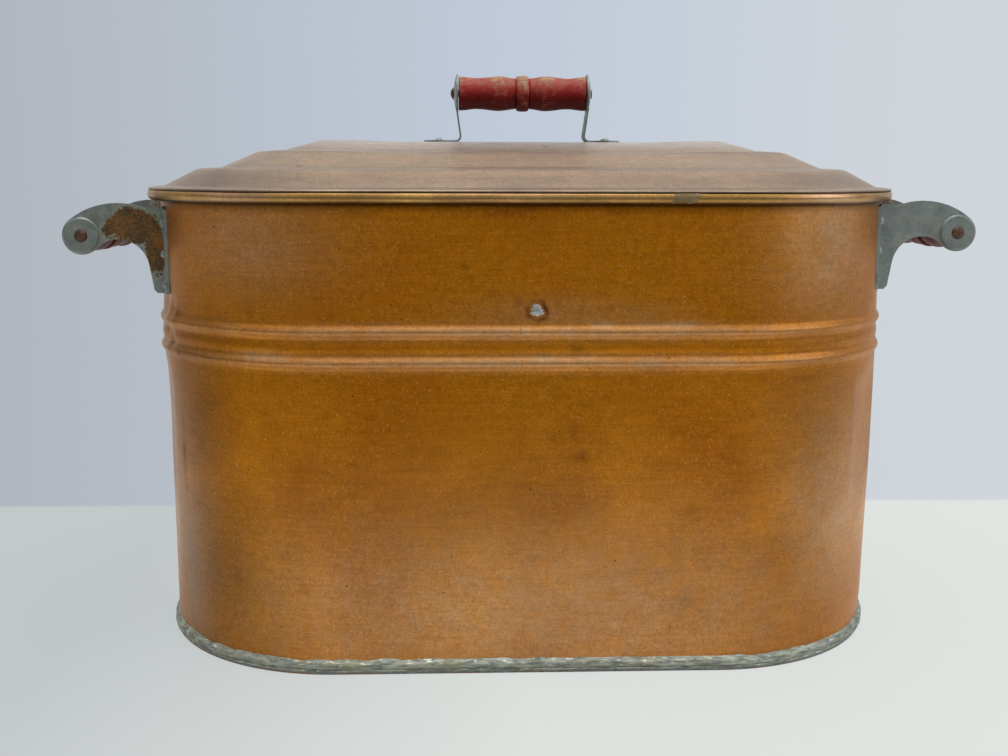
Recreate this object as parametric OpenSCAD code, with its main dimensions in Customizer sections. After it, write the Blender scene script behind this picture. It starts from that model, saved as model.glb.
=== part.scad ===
// Oval copper laundry boiler with a loose stepped lid and three wooden grips.
// X runs along the oval, -Y is the front and Z is up. The origin is the middle of the underside.

/* [Body] */
// Length of the copper body over its round ends
body_l = 572; // [480:1:680]
// Width of the copper body, which is also twice the radius of its ends
body_w = 287; // [280:1:340]
// Height from the underside to the top of the rim
body_h = 352.4; // [316:0.1:450]
// Thickness of the copper sheet
sheet_t = 0.8; // [0.5:0.1:1.2]
// Drop from the top of the rim to the lower swaged ridge
ridge_drop = 120.6; // [113:0.1:220]
// Width of a swaged ridge at its base
ridge_w = 11.5; // [6:0.5:14]
// How far a ridge stands out of the wall
ridge_h = 2.2; // [1:0.1:4.5]
// Width of the channel between the two ridges
channel_w = 10.8; // [4:0.1:16]
// How far the middle of the channel swells out again
channel_crown = 0.5; // [0.1:0.1:1]

/* [Seams and mend] */
// Width of the upright lock seam at each end
end_seam_w = 9; // [6:0.5:14]
// Height of the folded seam round the bottom
base_seam_h = 8.6; // [7:0.1:13]
// How far the solder rises above the folded seam
base_solder_rise = 2.2; // [1:0.1:4]
// Thickness of the solder on the bottom seam
base_solder_t = 0.9; // [0.4:0.1:1.6]
// Gap below the solder, where the bare fold shows
base_solder_gap = 2.2; // [1:0.1:4]
// Width of the solder run inside each end seam
seam_solder_w = 3; // [2:0.1:5]
// Sideways place of the soldered hole in the front
mend_x = 4.1; // [-60:0.1:60]
// Drop from the top of the rim to that hole
mend_drop = 83.3; // [40:0.1:86]
// Radius of the hole under the mend
mend_hole_r = 1.5; // [1:0.1:3]
// Radius of the lump of solder on the mend
mend_r = 5; // [4:0.1:8]
// How far that lump stands out
mend_h = 1.2; // [0.5:0.1:2]

/* [Rim] */
// Radius of the steel wire inside the rim
wire_r = 3.8; // [3:0.1:4.4]
// Gap round the wire inside the rolled band
wire_fit = 0.05; // [0.02:0.01:0.1]
// Thickness of the rim band
band_t = 0.8; // [0.5:0.1:1.2]
// Height of the rim band on the inside of the body
band_h = 10.8; // [10:0.1:16]
// Sideways place of the soldered joint of the band
joint_x = 106; // [-80:1:115]
// Length of the solder on that joint
joint_l = 17; // [8:1:24]
// Thickness of the solder on that joint
joint_t = 0.35; // [0.2:0.05:0.6]

/* [Side handles] */
// Distance of the grip's rod beyond the end of the body
handle_reach = 52; // [44:1:70]
// Height of the rod below the top of the rim
rod_drop = 33.1; // [32:0.1:46]
// How much lower the left handle sits than the right one
left_drop = 2.8; // [0:0.1:4]
// Thickness of a bracket
plate_t = 2; // [1.4:0.1:2.8]
// Radius of the round boss at the rod
boss_r = 14.5; // [14:0.5:18]
// How far the boss is pressed outwards
boss_raise = 1.3; // [0.6:0.1:1.6]
// Flat left round the raised middle of the boss
boss_land = 0.5; // [0.3:0.1:1.2]
// Radius of the hollow pressed into the boss
boss_cup_r = 11.2; // [9:0.1:12]
// Height of the arm's crown above the rod
crown_up = 24.6; // [21:0.1:25.8]
// Distance of the crown behind the rod
crown_back = 28; // [24:0.1:32]
// Depth of the underside's arch below the rod
arch_down = 2.8; // [2:0.1:5]
// Distance of the arch behind the rod
arch_back = 27.3; // [25:0.1:28]
// Depth of the bracket's leg below the rod
leg_down = 44; // [40:0.1:55]
// Lean of the leg's outer edge
leg_lean = 9; // [6:0.1:16]
// Cut across the tip of the leg
leg_cut = 2.6; // [1:0.1:4]
// Drop from the crown to the top corner of the bracket
tab_down = 2.4; // [1:0.1:4]
// Width of that corner tab beside the wall
tab_w = 6.9; // [5:0.1:9]
// Distance of the dip beside the tab from the wall
dip_w = 12.5; // [10:0.1:16]
// Width of the flange on the wall
flange_w = 15; // [12:0.5:20]
// Radius of the flange's corners
flange_corner_r = 4; // [2:0.5:6]
// Height of the upper rivet above the rod
rivet_up = 9.5; // [8:0.1:12]
// Distance between two rivets
rivet_pitch = 23; // [18:0.1:25]
// Radius of a rivet's shank
rivet_r = 2; // [1.5:0.1:2.4]
// Radius of a rivet's round head
rivet_head_r = 3.4; // [3:0.1:4]
// Height of a rivet's round head
rivet_head_h = 2.1; // [1.2:0.1:2.6]
// Height of a rivet's clinched end
clinch_h = 1; // [0.6:0.1:1.6]

/* [Grips] */
// Length of a wooden grip
grip_l = 101.4; // [92:0.1:112]
// Gap between a grip and a bracket
grip_gap = 0.3; // [0.2:0.1:0.8]
// Radius of a grip at its ends
grip_end_r = 13.2; // [12.6:0.1:14]
// Radius of a grip at its waists
grip_waist_r = 12.1; // [10:0.1:12.5]
// Radius of a grip at its swells
grip_swell_r = 13.5; // [12.6:0.1:14]
// Radius of the bead in the middle of a grip
grip_bead_r = 14; // [13:0.1:15]
// Width of that bead
grip_bead_w = 9.6; // [6:0.1:14]
// Depth of the groove at each side of the bead
groove_d = 1.1; // [0.5:0.1:2]
// Width of that groove
groove_w = 1.2; // [0.8:0.1:2]
// Distance from the middle of a grip to its swell
swell_x = 17.8; // [14:0.1:22]
// Distance from the end of a grip to its waist
waist_x = 14.7; // [10:0.1:18]
// Radius of a grip's rod
rod_r = 2.5; // [1.8:0.1:3.2]
// Running gap between a rod and a grip
rod_fit = 0.08; // [0.04:0.01:0.1]
// Gap between a rod or rivet and its hole in a plate
hole_fit = 0.05; // [0.02:0.01:0.1]
// Radius of the domed ends of a rod
rod_head_r = 5; // [4:0.1:6]
// Height of the domed ends of a rod
rod_head_h = 2.5; // [1.5:0.1:3.2]

/* [Lid] */
// Thickness of the lid's sheet
lid_t = 0.7; // [0.5:0.1:1]
// Gap between the lid and the top of the rim
lid_seat = 0.8; // [0.1:0.1:1]
// How far the lid's edge stays inside the outer face of the rim
lid_edge_in = 0.7; // [0.4:0.1:2]
// Drop of the lid's turned edge
lid_edge_drop = 1.4; // [1:0.1:1.6]
// Width of the flat brim
brim_w = 11.7; // [11.4:0.1:14]
// Width of the flat top that the handle stands on
top_w = 27.4; // [27.2:0.1:34]
// Share of the way from the brim to the flat top taken by the lowest slope
slope1_share = 0.2305; // [0.18:0.0005:0.28]
// Rise of the lowest slope
slope1_h = 13.5; // [8:0.1:18]
// Share taken by the lower ledge
ledge1_share = 0.1129; // [0.06:0.0001:0.16]
// Share taken by the middle slope
slope2_share = 0.2623; // [0.2:0.0001:0.3]
// Rise of the middle slope
slope2_h = 11.8; // [8:0.1:18]
// Share taken by the upper ledge, above which the highest slope takes the rest
ledge2_share = 0.1296; // [0.06:0.0001:0.16]
// Rise of the highest slope
slope3_h = 8; // [5:0.1:12]
// Rise across each ledge
ledge_h = 0.6; // [0.2:0.1:1]
// Share of a slope that is straight before it rounds over
straight_share = 0.75; // [0.5:0.05:0.9]
// Gap between the rim and the ring that centres the lid
ring_gap = 1; // [0.6:0.1:2]
// Height of that ring
ring_h = 12; // [8:0.5:18]
// Width of the solder that holds that ring
ring_solder_w = 1.1; // [0.6:0.1:1.2]

/* [Lid handle] */
// Height of the grip's rod above the top of the lid
lid_rod_up = 38; // [34:0.1:48]
// Thickness of a lid bracket
strap_t = 1.4; // [1:0.1:2]
// Radius of a bracket's dished round end
dish_r = 15; // [14.5:0.1:18]
// Depth of that dish
dish_d = 2.3; // [1:0.1:3]
// Width of a bracket's stem
stem_w = 16; // [12:0.5:20]
// Overlap of the stem and the dished end
stem_lap = 4; // [3:0.5:6]
// Lean of the stem towards the middle
stem_lean = 8; // [4:0.5:10]
// Inner radius of the bend at the foot
bend_r = 3.5; // [2.5:0.1:5]
// Length of the foot beyond the bend
foot_l = 25; // [24:0.5:34]
// Distance of the foot's rivets beyond the bend
foot_rivet_x = 13; // [11:0.5:14]
// Distance of the foot's rivets from its middle
foot_rivet_y = 8; // [7:0.5:10]
// Radius of a foot's lobe round a rivet
lobe_r = 5.5; // [4.5:0.1:6.5]
// Radius of the tip of a foot
tip_r = 4; // [2.5:0.1:5]
// Radius of a lid rivet's shank
lid_rivet_r = 1.5; // [1:0.1:2]
// Radius of a lid rivet's round head
lid_rivet_head_r = 2.8; // [2.5:0.1:3.5]
// Height of a lid rivet's round head
lid_rivet_head_h = 1.8; // [1:0.1:2.4]
// Radius of the lid rod's hammered right end
lid_rod_tail_r = 3.4; // [3.3:0.1:4.5]
// Height of the lid rod's hammered right end
lid_rod_tail_h = 0.9; // [0.5:0.1:1.5]

/* [Hidden] */
$fn = 96;
arc_steps = 8;                                     // points on a quarter turn of an outline

// Oval plan: every ring of the boiler is a distance from the core line between the two end centres
body_r = body_w / 2;
end_x = body_l / 2 - body_r;

// Ridges
ridge_z = body_h - ridge_drop;
mend_z = body_h - mend_drop;
channel_z = ridge_z + (ridge_w + channel_w) / 2;
upper_ridge_z = ridge_z + ridge_w + channel_w;
swells = [[ridge_z, ridge_h, ridge_w], [channel_z, channel_crown, channel_w],
    [upper_ridge_z, ridge_h, ridge_w]];
swell_steps = 8;
ridges_high = upper_ridge_z + ridge_w / 2;

// Rim
bead_r = wire_r + band_t;
bead_z = body_h - bead_r;
band_low = body_h - band_h;
bead_out = wire_r + bead_r;
band_in = sheet_t + band_t;
neck_x = bead_r - band_in;                         // centre of the roll over the sheet's top edge
roll_end = acos(wire_r / bead_r) - 180;            // turn at which the roll meets the wall under the bead

// Seams
seam_low = base_seam_h + base_solder_rise;
seam_high = band_low - sheet_t;
seam_turn = end_seam_w / 2 / body_r * 180 / PI;    // half the end seam, as an angle
fold_turn = sheet_t / body_r * 180 / PI;           // one sheet thickness, as an angle
fold_air = fold_turn / 5;                          // air left inside each fold

// Side handles
rod_x = body_l / 2 + handle_reach;
rod_z = body_h - rod_drop;
arm_in = grip_l / 2 + grip_gap;                    // inner face of a bracket's arm
arm_out = arm_in + plate_t;
crown_over = crown_up - boss_r;
crown_c = (pow(crown_back, 2) - pow(crown_over, 2)) / (2 * crown_over);
crown_r = crown_c + crown_up;
arch_over = boss_r - arch_down;
arch_c = (pow(arch_back, 2) - pow(arch_over, 2)) / (2 * arch_over);
arch_r = arch_c - arch_down;
wall_back = handle_reach + body_r - sqrt(pow(body_r, 2) - pow(arm_in, 2));    // from the rod to the wall
root_back = wall_back + plate_t;                   // the arm is drawn past the wall, then cut to it
flange_top = crown_up - tab_down;
leg_z = arch_r * sin(leg_lean) - arch_c;           // height at which the leg leaves the arch
leg_back = arch_back + arch_r * cos(leg_lean) + (leg_z + leg_down - leg_cut) * tan(leg_lean);
arc_over = 2;                                      // turn left out where two arcs meet
rivet_turn = asin((arm_in + (flange_w + plate_t) / 2) / body_r);
rivet_seat = 0.05;                                 // keeps flat rivet heads off the curved wall
raised_r = boss_r - boss_land;
cut = 1;                                           // how far a cutter runs past what it cuts

// Lid: heights of its upper side and distances from the core line, from the brim inwards
lid_out_r = body_r + bead_out - lid_edge_in;
brim_z = body_h + lid_seat + lid_t;
slope1_r = lid_out_r - brim_w;
top_r = top_w / 2;
steps_w = slope1_r - top_r;
slope1_w = slope1_share * steps_w;
slope2_w = slope2_share * steps_w;
ledge1_r = slope1_r - slope1_w;
slope2_r = ledge1_r - ledge1_share * steps_w;
ledge2_r = slope2_r - slope2_w;
slope3_r = ledge2_r - ledge2_share * steps_w;
ledge1_z = brim_z + slope1_h;
slope2_z = ledge1_z + ledge_h;
ledge2_z = slope2_z + slope2_h;
slope3_z = ledge2_z + ledge_h;
lid_top = slope3_z + slope3_h;
ring_r = body_r - band_in - ring_gap;
slope_steps = 6;

// Lid handle
lid_rod_z = lid_top + lid_rod_up;
dish_x = grip_l / 2 + grip_gap;
stem_top = [dish_x + strap_t, lid_rod_z - dish_r + stem_lap];
bend_mid_r = bend_r + strap_t / 2;
bend_z = lid_top + strap_t + bend_r;
stem_foot_z = bend_z + bend_mid_r * sin(stem_lean);
stem_foot_x = stem_top[0] - (stem_top[1] - stem_foot_z) * tan(stem_lean);
bend_x = stem_foot_x + bend_mid_r * cos(stem_lean);
head_x = dish_x + dish_d + strap_t;                // outer side of the dish at the rod

function arc(c, r, from, to, n = arc_steps) =
    [for (i = [0:n]) c + r * [cos(from + (to - from) * i / n), sin(from + (to - from) * i / n)]];
function flip(points) = [for (i = [len(points) - 1:-1:0]) points[i]];
function ease(a, b, t) = a + (b - a) * (1 - cos(180 * t)) / 2;

// How far the wall swells out at height z
function bump(z, s) = abs(z - s[0]) < s[2] / 2 ? s[1] * (1 + cos(360 * (z - s[0]) / s[2])) / 2 : 0;
function swell(z) = bump(z, swells[0]) + bump(z, swells[1]) + bump(z, swells[2]);
ridge_heights = concat(
    [for (s = swells) for (i = [0:swell_steps - 1]) s[0] + s[2] * (i / swell_steps - 0.5)],
    [ridges_high]);

// Section of sheets stacked on the wall: layer 0 is the wall itself, 1 to 3 lie outside it
function wall_line(out, low, high) = concat([[body_r + out, low]],
    [for (z = ridge_heights) [body_r + out + swell(z), z]], [[body_r + out, high]]);
module wall_section(first, last, low, high) {
    polygon(concat(wall_line(last * sheet_t, low, high),
        flip(wall_line((first - 1) * sheet_t, low, high))));
}

// A section carried round part of an end, along one long side, or round the whole oval
module round_end(from, to) {
    translate([end_x, 0, 0]) rotate_extrude(angle = to - from, start = from) children();
}
module long_side() {
    translate([-end_x, 0, 0]) rotate([90, 0, 90]) linear_extrude(2 * end_x) children();
}
module oval() {
    for (s = [0, 1]) {
        mirror([s, 0, 0]) round_end(-90, 90) children();
        mirror([0, s, 0]) long_side() children();
    }
}
module both_ends() {
    children();
    mirror([1, 0, 0]) children();
}
module to_left() {
    mirror([1, 0, 0]) children();
}
module to_front() {
    mirror([0, 1, 0]) children();
}
module to_left_handle() {
    translate([0, 0, -left_drop]) to_left() children();
}

// Domed head on the XY plane
module dome(r, h) {
    ball = (r * r + h * h) / (2 * h);
    rotate_extrude() polygon(concat([[0, 0]],
        arc([0, h - ball], ball, 90 - 2 * atan(h / r), 90, arc_steps)));
}

// Rivets of the right rear bracket, with X pointing out of the wall
module at_rivets() {
    for (i = [0:2])
        translate([end_x, 0, rod_z + rivet_up - i * rivet_pitch]) rotate([0, 0, rivet_turn])
            rotate([0, 90, 0]) children();
}
module rivet_holes() {
    at_rivets() translate([0, 0, body_r - sheet_t - cut])
        cylinder(r = rivet_r + hole_fit, h = sheet_t + plate_t + 2 * cut);
}
module both_rivet_holes() {
    rivet_holes();
    to_left_handle() rivet_holes();
}
// Rivets of the lid's right bracket
module at_lid_rivets() {
    for (s = [-1, 1]) translate([bend_x + foot_rivet_x, s * foot_rivet_y, lid_top]) children();
}
module lid_rivet_holes() {
    at_lid_rivets() translate([0, 0, -lid_t - cut])
        cylinder(r = lid_rivet_r + hole_fit, h = lid_t + strap_t + 2 * cut);
}

// The sheet's lower edge turns out and up inside the fold of the bottom pan
module base_hook_section() {
    polygon([[body_r - sheet_t, sheet_t], [body_r + 2 * sheet_t, sheet_t],
        [body_r + 2 * sheet_t, base_seam_h - sheet_t], [body_r + sheet_t, base_seam_h - sheet_t],
        [body_r + sheet_t, 2 * sheet_t], [body_r, 2 * sheet_t],
        [body_r, 3 * sheet_t], [body_r - sheet_t, 3 * sheet_t]]);
}
module sheet_section() {
    wall_section(0, 0, 2 * sheet_t, bead_z);
    base_hook_section();
}

module front_sheet() {
    color("peru") difference() {
        union() {
            to_front() long_side() sheet_section();
            both_ends() {
                round_end(-90, -seam_turn) sheet_section();
                round_end(-seam_turn - fold_turn, -seam_turn) wall_section(0, 3, seam_low, seam_high);
                round_end(-seam_turn - fold_turn, seam_turn) wall_section(3, 3, seam_low, seam_high);
                round_end(seam_turn - fold_turn, seam_turn) wall_section(1, 3, seam_low, seam_high);
                round_end(-seam_turn + fold_turn + fold_air, seam_turn)
                    wall_section(1, 1, seam_low, seam_high);
            }
        }
        to_front() both_rivet_holes();
        translate([mend_x, -body_r + sheet_t + cut, mend_z]) rotate([90, 0, 0])
            cylinder(r = mend_hole_r, h = sheet_t + 2 * cut);
    }
}

module back_sheet() {
    color("peru") difference() {
        union() {
            long_side() sheet_section();
            both_ends() {
                round_end(-seam_turn, 90) sheet_section();
                round_end(-seam_turn, -seam_turn + fold_turn) wall_section(0, 2, seam_low, seam_high);
                round_end(-seam_turn, seam_turn - fold_turn - fold_air)
                    wall_section(2, 2, seam_low, seam_high);
            }
        }
        both_rivet_holes();
    }
}

// Half a sheet thick, on the inner side of each end seam
module end_seam_solder() {
    turn = seam_solder_w / 2 / body_r * 180 / PI;
    color("darkgray") both_ends() round_end(-seam_turn - turn, -seam_turn + turn)
        polygon(concat(wall_line(-sheet_t, seam_low, seam_high),
            flip(wall_line(-1.5 * sheet_t, seam_low, seam_high))));
}

module bottom_pan() {
    out = body_r + 3 * sheet_t;
    color("peru") oval() polygon([[0, 0], [out, 0], [out, base_seam_h], [body_r, base_seam_h],
        [body_r, 2 * sheet_t], [body_r + sheet_t, 2 * sheet_t],
        [body_r + sheet_t, base_seam_h - sheet_t], [body_r + 2 * sheet_t, base_seam_h - sheet_t],
        [body_r + 2 * sheet_t, sheet_t], [0, sheet_t]]);
}

// Smeared over the upper part of the fold and up to the wall
module bottom_seam_solder() {
    out = body_r + 3 * sheet_t;
    t = base_solder_t;
    color("slategray") oval() polygon([[out, base_solder_gap], [out + t / 2, base_solder_gap + t / 4],
        [out + t, base_solder_gap + t], [out + t, base_seam_h - t], [out + t / 2, base_seam_h],
        [body_r + sheet_t, seam_low - base_solder_rise / 3], [body_r, seam_low],
        [body_r, base_seam_h], [out, base_seam_h]]);
}

module hole_mend() {
    color("silver") translate([mend_x, -body_r, mend_z]) rotate([90, 0, 0]) {
        dome(mend_r, mend_h);
        translate([0, 0, -sheet_t - hole_fit])
            cylinder(r = mend_hole_r - hole_fit, h = sheet_t + 2 * hole_fit);
        translate([0, 0, -sheet_t]) mirror([0, 0, 1]) dome(mend_r, mend_h / 2);
    }
}

module rim_band() {
    r = body_r;
    color("darkgoldenrod") oval() polygon(concat(
        [[r - band_in, band_low]],
        arc([r + neck_x, bead_z], bead_r, 180, 90),
        arc([r + wire_r, bead_z], bead_r, 90, 0),
        arc([r + wire_r, bead_z], bead_r, -90 / arc_steps, -90, arc_steps - 1),
        arc([r + wire_r, bead_z], bead_r, -90 + roll_end / arc_steps, roll_end, arc_steps - 1),
        arc([r + wire_r, bead_z], wire_r, -180, 90, 3 * arc_steps),
        arc([r + neck_x, bead_z], wire_r, 90, 180),
        [[r - sheet_t, band_low]]));
}

module rim_wire() {
    color("dimgray") oval() translate([body_r + wire_r, bead_z]) circle(r = wire_r - wire_fit);
}

// Lies on the bead, from one step of its arc to another
module rim_joint_solder() {
    bead_step = 90 / arc_steps;
    steps = 2 * arc_steps - 4;
    high = 90 + bead_step;
    low = high + steps * bead_step;
    color("darkgray") translate([joint_x - joint_l / 2, -body_r - wire_r, bead_z])
        rotate([90, 0, 90]) linear_extrude(joint_l)
            polygon(concat(arc([0, 0], bead_r + joint_t, high, low, steps),
                flip(arc([0, 0], bead_r, high, low, steps))));
}

// Side view of the right arm about its rod: boss, crown, root on the wall, leg and arch
arm_outline = concat(
    arc([0, 0], boss_r, atan(crown_c / crown_back), -180 + atan(arch_c / arch_back), 3 * arc_steps),
    arc([-arch_back, -arch_c], arch_r, atan(arch_c / arch_back) - arc_over, 180 - leg_lean, 2 * arc_steps),
    [[-leg_back, leg_cut - leg_down], [-leg_back - leg_cut, -leg_down], [-root_back, -leg_down],
        [-root_back, flange_top], [tab_w - wall_back, flange_top]],
    arc([-crown_back, -crown_c], crown_r, 90 + asin((wall_back - dip_w - crown_back) / crown_r),
        atan(crown_c / crown_back) + arc_over, 2 * arc_steps));

module flange_outline() {
    low = rod_z - leg_down;
    high = rod_z + flange_top;
    far = arm_in + flange_w;
    c = flange_corner_r;
    polygon(concat([[arm_in, low]], arc([far - c, low + c], c, -90, 0), arc([far - c, high - c], c, 0, 90),
        [[arm_in, high]]));
}

// Right rear bracket: an arm, a pressed boss and a flange that lies on the round end
module bracket() {
    color("slategray") difference() {
        union() {
            translate([rod_x, arm_out, rod_z]) rotate([90, 0, 0]) linear_extrude(plate_t)
                polygon(arm_outline);
            translate([rod_x, arm_out, rod_z]) rotate([-90, 0, 0])
                cylinder(r1 = raised_r, r2 = raised_r - boss_raise, h = boss_raise);
            intersection() {
                translate([end_x, 0, 0]) cylinder(r = body_r + plate_t, h = body_h);
                translate([end_x, 0, 0]) rotate([90, 0, 90]) linear_extrude(body_r + plate_t)
                    flange_outline();
            }
        }
        translate([end_x, 0, 0]) cylinder(r = body_r, h = body_h);
        translate([rod_x, arm_in - cut, rod_z]) rotate([-90, 0, 0]) {
            cylinder(r = rod_r + hole_fit, h = plate_t + boss_raise + 2 * cut);
            cylinder(r = boss_cup_r, h = boss_raise + cut);
        }
        rivet_holes();
    }
}

// Right rear rivets: domed heads outside, clinched ends inside
module rivets() {
    color("dimgray") at_rivets() {
        translate([0, 0, body_r + plate_t + rivet_seat]) dome(rivet_head_r, rivet_head_h);
        translate([0, 0, body_r - sheet_t - 2 * rivet_seat])
            cylinder(r = rivet_r, h = plate_t + sheet_t + 4 * rivet_seat);
        translate([0, 0, body_r - sheet_t - rivet_seat - clinch_h])
            cylinder(r = rivet_head_r, h = clinch_h);
    }
}

// Right rod, with a domed end outside each bracket
module handle_rod() {
    reach = arm_out + boss_raise;
    color("saddlebrown") translate([rod_x, 0, rod_z]) rotate([90, 0, 0]) {
        translate([0, 0, -reach - hole_fit]) cylinder(r = rod_r, h = 2 * (reach + hole_fit));
        translate([0, 0, reach]) dome(rod_head_r, rod_head_h);
        translate([0, 0, -reach]) mirror([0, 0, 1]) dome(rod_head_r, rod_head_h);
    }
}

// Turned outline from the middle of a grip to its end: bead, groove, swell, waist and flare
bead_edge = grip_bead_w / 2;
groove_x = bead_edge + groove_w / 2;
function turned(x0, r0, x1, r1) =
    [for (i = [1:arc_steps]) [ease(r0, r1, i / arc_steps), x0 + (x1 - x0) * i / arc_steps]];
grip_side = concat(
    [for (i = [0:arc_steps]) [grip_bead_r - groove_d * (1 - cos(90 * i / arc_steps)),
        bead_edge * sin(90 * i / arc_steps)]],
    [[grip_waist_r - groove_d / 2, groove_x]],
    turned(groove_x + groove_w / 2, grip_waist_r, swell_x, grip_swell_r),
    turned(swell_x, grip_swell_r, grip_l / 2 - waist_x, grip_waist_r),
    turned(grip_l / 2 - waist_x, grip_waist_r, grip_l / 2, grip_end_r));

// Upright grip about the origin
module grip() {
    bore_r = rod_r + rod_fit;
    half = concat([[bore_r, 0]], grip_side, [[bore_r, grip_l / 2]]);
    color("firebrick") {
        rotate_extrude() polygon(half);
        mirror([0, 0, 1]) rotate_extrude() polygon(half);
    }
}

module right_hand_grip() {
    translate([rod_x, 0, rod_z]) rotate([90, 0, 0]) grip();
}

// Rise of a slope, straight and then rounding over, for t from 0 to 1
function rise(t) = let (m = straight_share, k = 2 / (1 + m))
    t < m ? k * t : k * m + k * ((t - m) - pow(t - m, 2) / (2 * (1 - m)));
function slope(r, z, w, h) = concat([[r, z]], [for (i = [0:slope_steps])
    let (t = straight_share + (1 - straight_share) * i / slope_steps) [r - w * t, z + h * rise(t)]]);
lid_line = concat([[lid_out_r, brim_z - lid_edge_drop], [lid_out_r, brim_z - lid_t],
        [lid_out_r - lid_t, brim_z]],
    slope(slope1_r, brim_z, slope1_w, slope1_h),
    slope(slope2_r, slope2_z, slope2_w, slope2_h),
    slope(slope3_r, slope3_z, slope3_r - top_r, slope3_h), [[0, lid_top]]);
lid_under = concat([[lid_out_r - lid_t, brim_z - lid_edge_drop], [lid_out_r - lid_t, brim_z - lid_t]],
    [for (p = lid_line) if (p[0] <= slope1_r) [p[0], p[1] - lid_t]]);

module lid_cover() {
    color("tan") difference() {
        oval() polygon(concat(lid_line, flip(lid_under)));
        both_ends() lid_rivet_holes();
    }
}

module lid_ring() {
    color("peru") oval() translate([ring_r - lid_t, brim_z - lid_t - ring_h]) square([lid_t, ring_h]);
}

module lid_ring_solder() {
    corner = [ring_r - lid_t, brim_z - lid_t];
    color("darkgray") oval()
        polygon([corner, corner - [ring_solder_w, 0], corner - [0, ring_solder_w]]);
}

// Dished round end of the right bracket, turned about the rod
module dish() {
    steps = 6;
    rim = [for (i = [0:steps]) [dish_r * i / steps, dish_d * (1 - pow(i / steps, 2))]];
    translate([dish_x, 0, lid_rod_z]) rotate([0, 90, 0]) rotate_extrude()
        polygon(concat(rim, [for (p = flip(rim)) p + [0, strap_t]]));
}

// Side view of the stem and its bend
module stem_outline() {
    lean = [sin(stem_lean), cos(stem_lean)];
    side = [cos(stem_lean), -sin(stem_lean)] * strap_t / 2;
    outer = arc([bend_x, bend_z], bend_r + strap_t, 180 - stem_lean, 270);
    inner = arc([bend_x, bend_z], bend_r, 180 - stem_lean, 270);
    polygon(concat([stem_top - side], outer, flip(inner), [stem_top + side]));
}

module foot_outline() {
    x = foot_rivet_x;
    y = foot_rivet_y;
    half = concat([[-cut, -stem_w / 2], [x - 1.5 * lobe_r, -stem_w / 2]],
        arc([x, -y], lobe_r, 215, 310), arc([foot_l - tip_r, 0], tip_r, -50, 0));
    polygon(concat(half, [for (p = flip(half)) [p[0], -p[1]]]));
}

module lid_bracket() {
    color("slategray") difference() {
        union() {
            dish();
            translate([0, stem_w / 2, 0]) rotate([90, 0, 0]) linear_extrude(stem_w) stem_outline();
            translate([bend_x, 0, lid_top]) linear_extrude(strap_t) foot_outline();
        }
        translate([dish_x - cut, 0, lid_rod_z]) rotate([0, 90, 0])
            cylinder(r = rod_r + hole_fit, h = dish_d + strap_t + 2 * cut);
        lid_rivet_holes();
    }
}

module lid_rivets() {
    color("dimgray") at_lid_rivets() {
        translate([0, 0, strap_t]) dome(lid_rivet_head_r, lid_rivet_head_h);
        translate([0, 0, -lid_t - hole_fit]) cylinder(r = lid_rivet_r, h = lid_t + strap_t + 2 * hole_fit);
        translate([0, 0, -lid_t - clinch_h]) cylinder(r = lid_rivet_head_r, h = clinch_h);
    }
}

module lid_handle_rod() {
    color("dimgray") translate([0, 0, lid_rod_z]) rotate([0, 90, 0]) {
        translate([0, 0, -head_x - hole_fit]) cylinder(r = rod_r, h = 2 * (head_x + hole_fit));
        translate([0, 0, head_x]) cylinder(r = lid_rod_tail_r, h = lid_rod_tail_h);
        translate([0, 0, -head_x]) mirror([0, 0, 1]) dome(rod_head_r, rod_head_h);
    }
}

front_sheet();
back_sheet();
end_seam_solder();
bottom_pan();
bottom_seam_solder();
hole_mend();
rim_band();
rim_wire();
rim_joint_solder();
to_left_handle() to_front() bracket();  // left_front_bracket
to_left_handle() bracket();  // left_rear_bracket
to_front() bracket();  // right_front_bracket
bracket();  // right_rear_bracket
to_left_handle() to_front() rivets();  // left_front_rivets
to_left_handle() rivets();  // left_rear_rivets
to_front() rivets();  // right_front_rivets
rivets();  // right_rear_rivets
to_left_handle() handle_rod();  // left_handle_rod
handle_rod();  // right_handle_rod
to_left_handle() right_hand_grip();  // left_grip
right_hand_grip();  // right_grip
lid_cover();
lid_ring();
lid_ring_solder();
to_left() lid_bracket();  // lid_left_bracket
lid_bracket();  // lid_right_bracket
to_left() lid_rivets();  // lid_left_rivets
lid_rivets();  // lid_right_rivets
lid_handle_rod();
translate([0, 0, lid_rod_z]) rotate([0, 90, 0]) grip();  // lid_grip
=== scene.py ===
import math

import bmesh
import bpy
from mathutils import Matrix, Vector, noise


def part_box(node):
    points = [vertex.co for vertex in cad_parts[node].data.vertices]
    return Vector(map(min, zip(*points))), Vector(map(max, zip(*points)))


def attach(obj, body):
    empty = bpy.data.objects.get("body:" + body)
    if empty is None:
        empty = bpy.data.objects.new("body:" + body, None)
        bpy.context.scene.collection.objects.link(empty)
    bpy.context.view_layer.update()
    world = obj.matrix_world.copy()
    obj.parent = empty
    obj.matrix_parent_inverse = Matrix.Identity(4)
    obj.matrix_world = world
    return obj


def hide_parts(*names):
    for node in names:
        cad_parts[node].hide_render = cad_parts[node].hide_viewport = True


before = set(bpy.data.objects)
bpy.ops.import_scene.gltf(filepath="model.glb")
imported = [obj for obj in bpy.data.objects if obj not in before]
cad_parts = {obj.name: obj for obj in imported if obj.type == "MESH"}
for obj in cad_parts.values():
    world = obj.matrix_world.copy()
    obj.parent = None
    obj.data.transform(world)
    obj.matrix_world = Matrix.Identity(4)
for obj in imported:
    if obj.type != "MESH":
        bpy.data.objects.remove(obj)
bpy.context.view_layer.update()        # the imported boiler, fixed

mm = 0.001
print("frame loaded")


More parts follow.
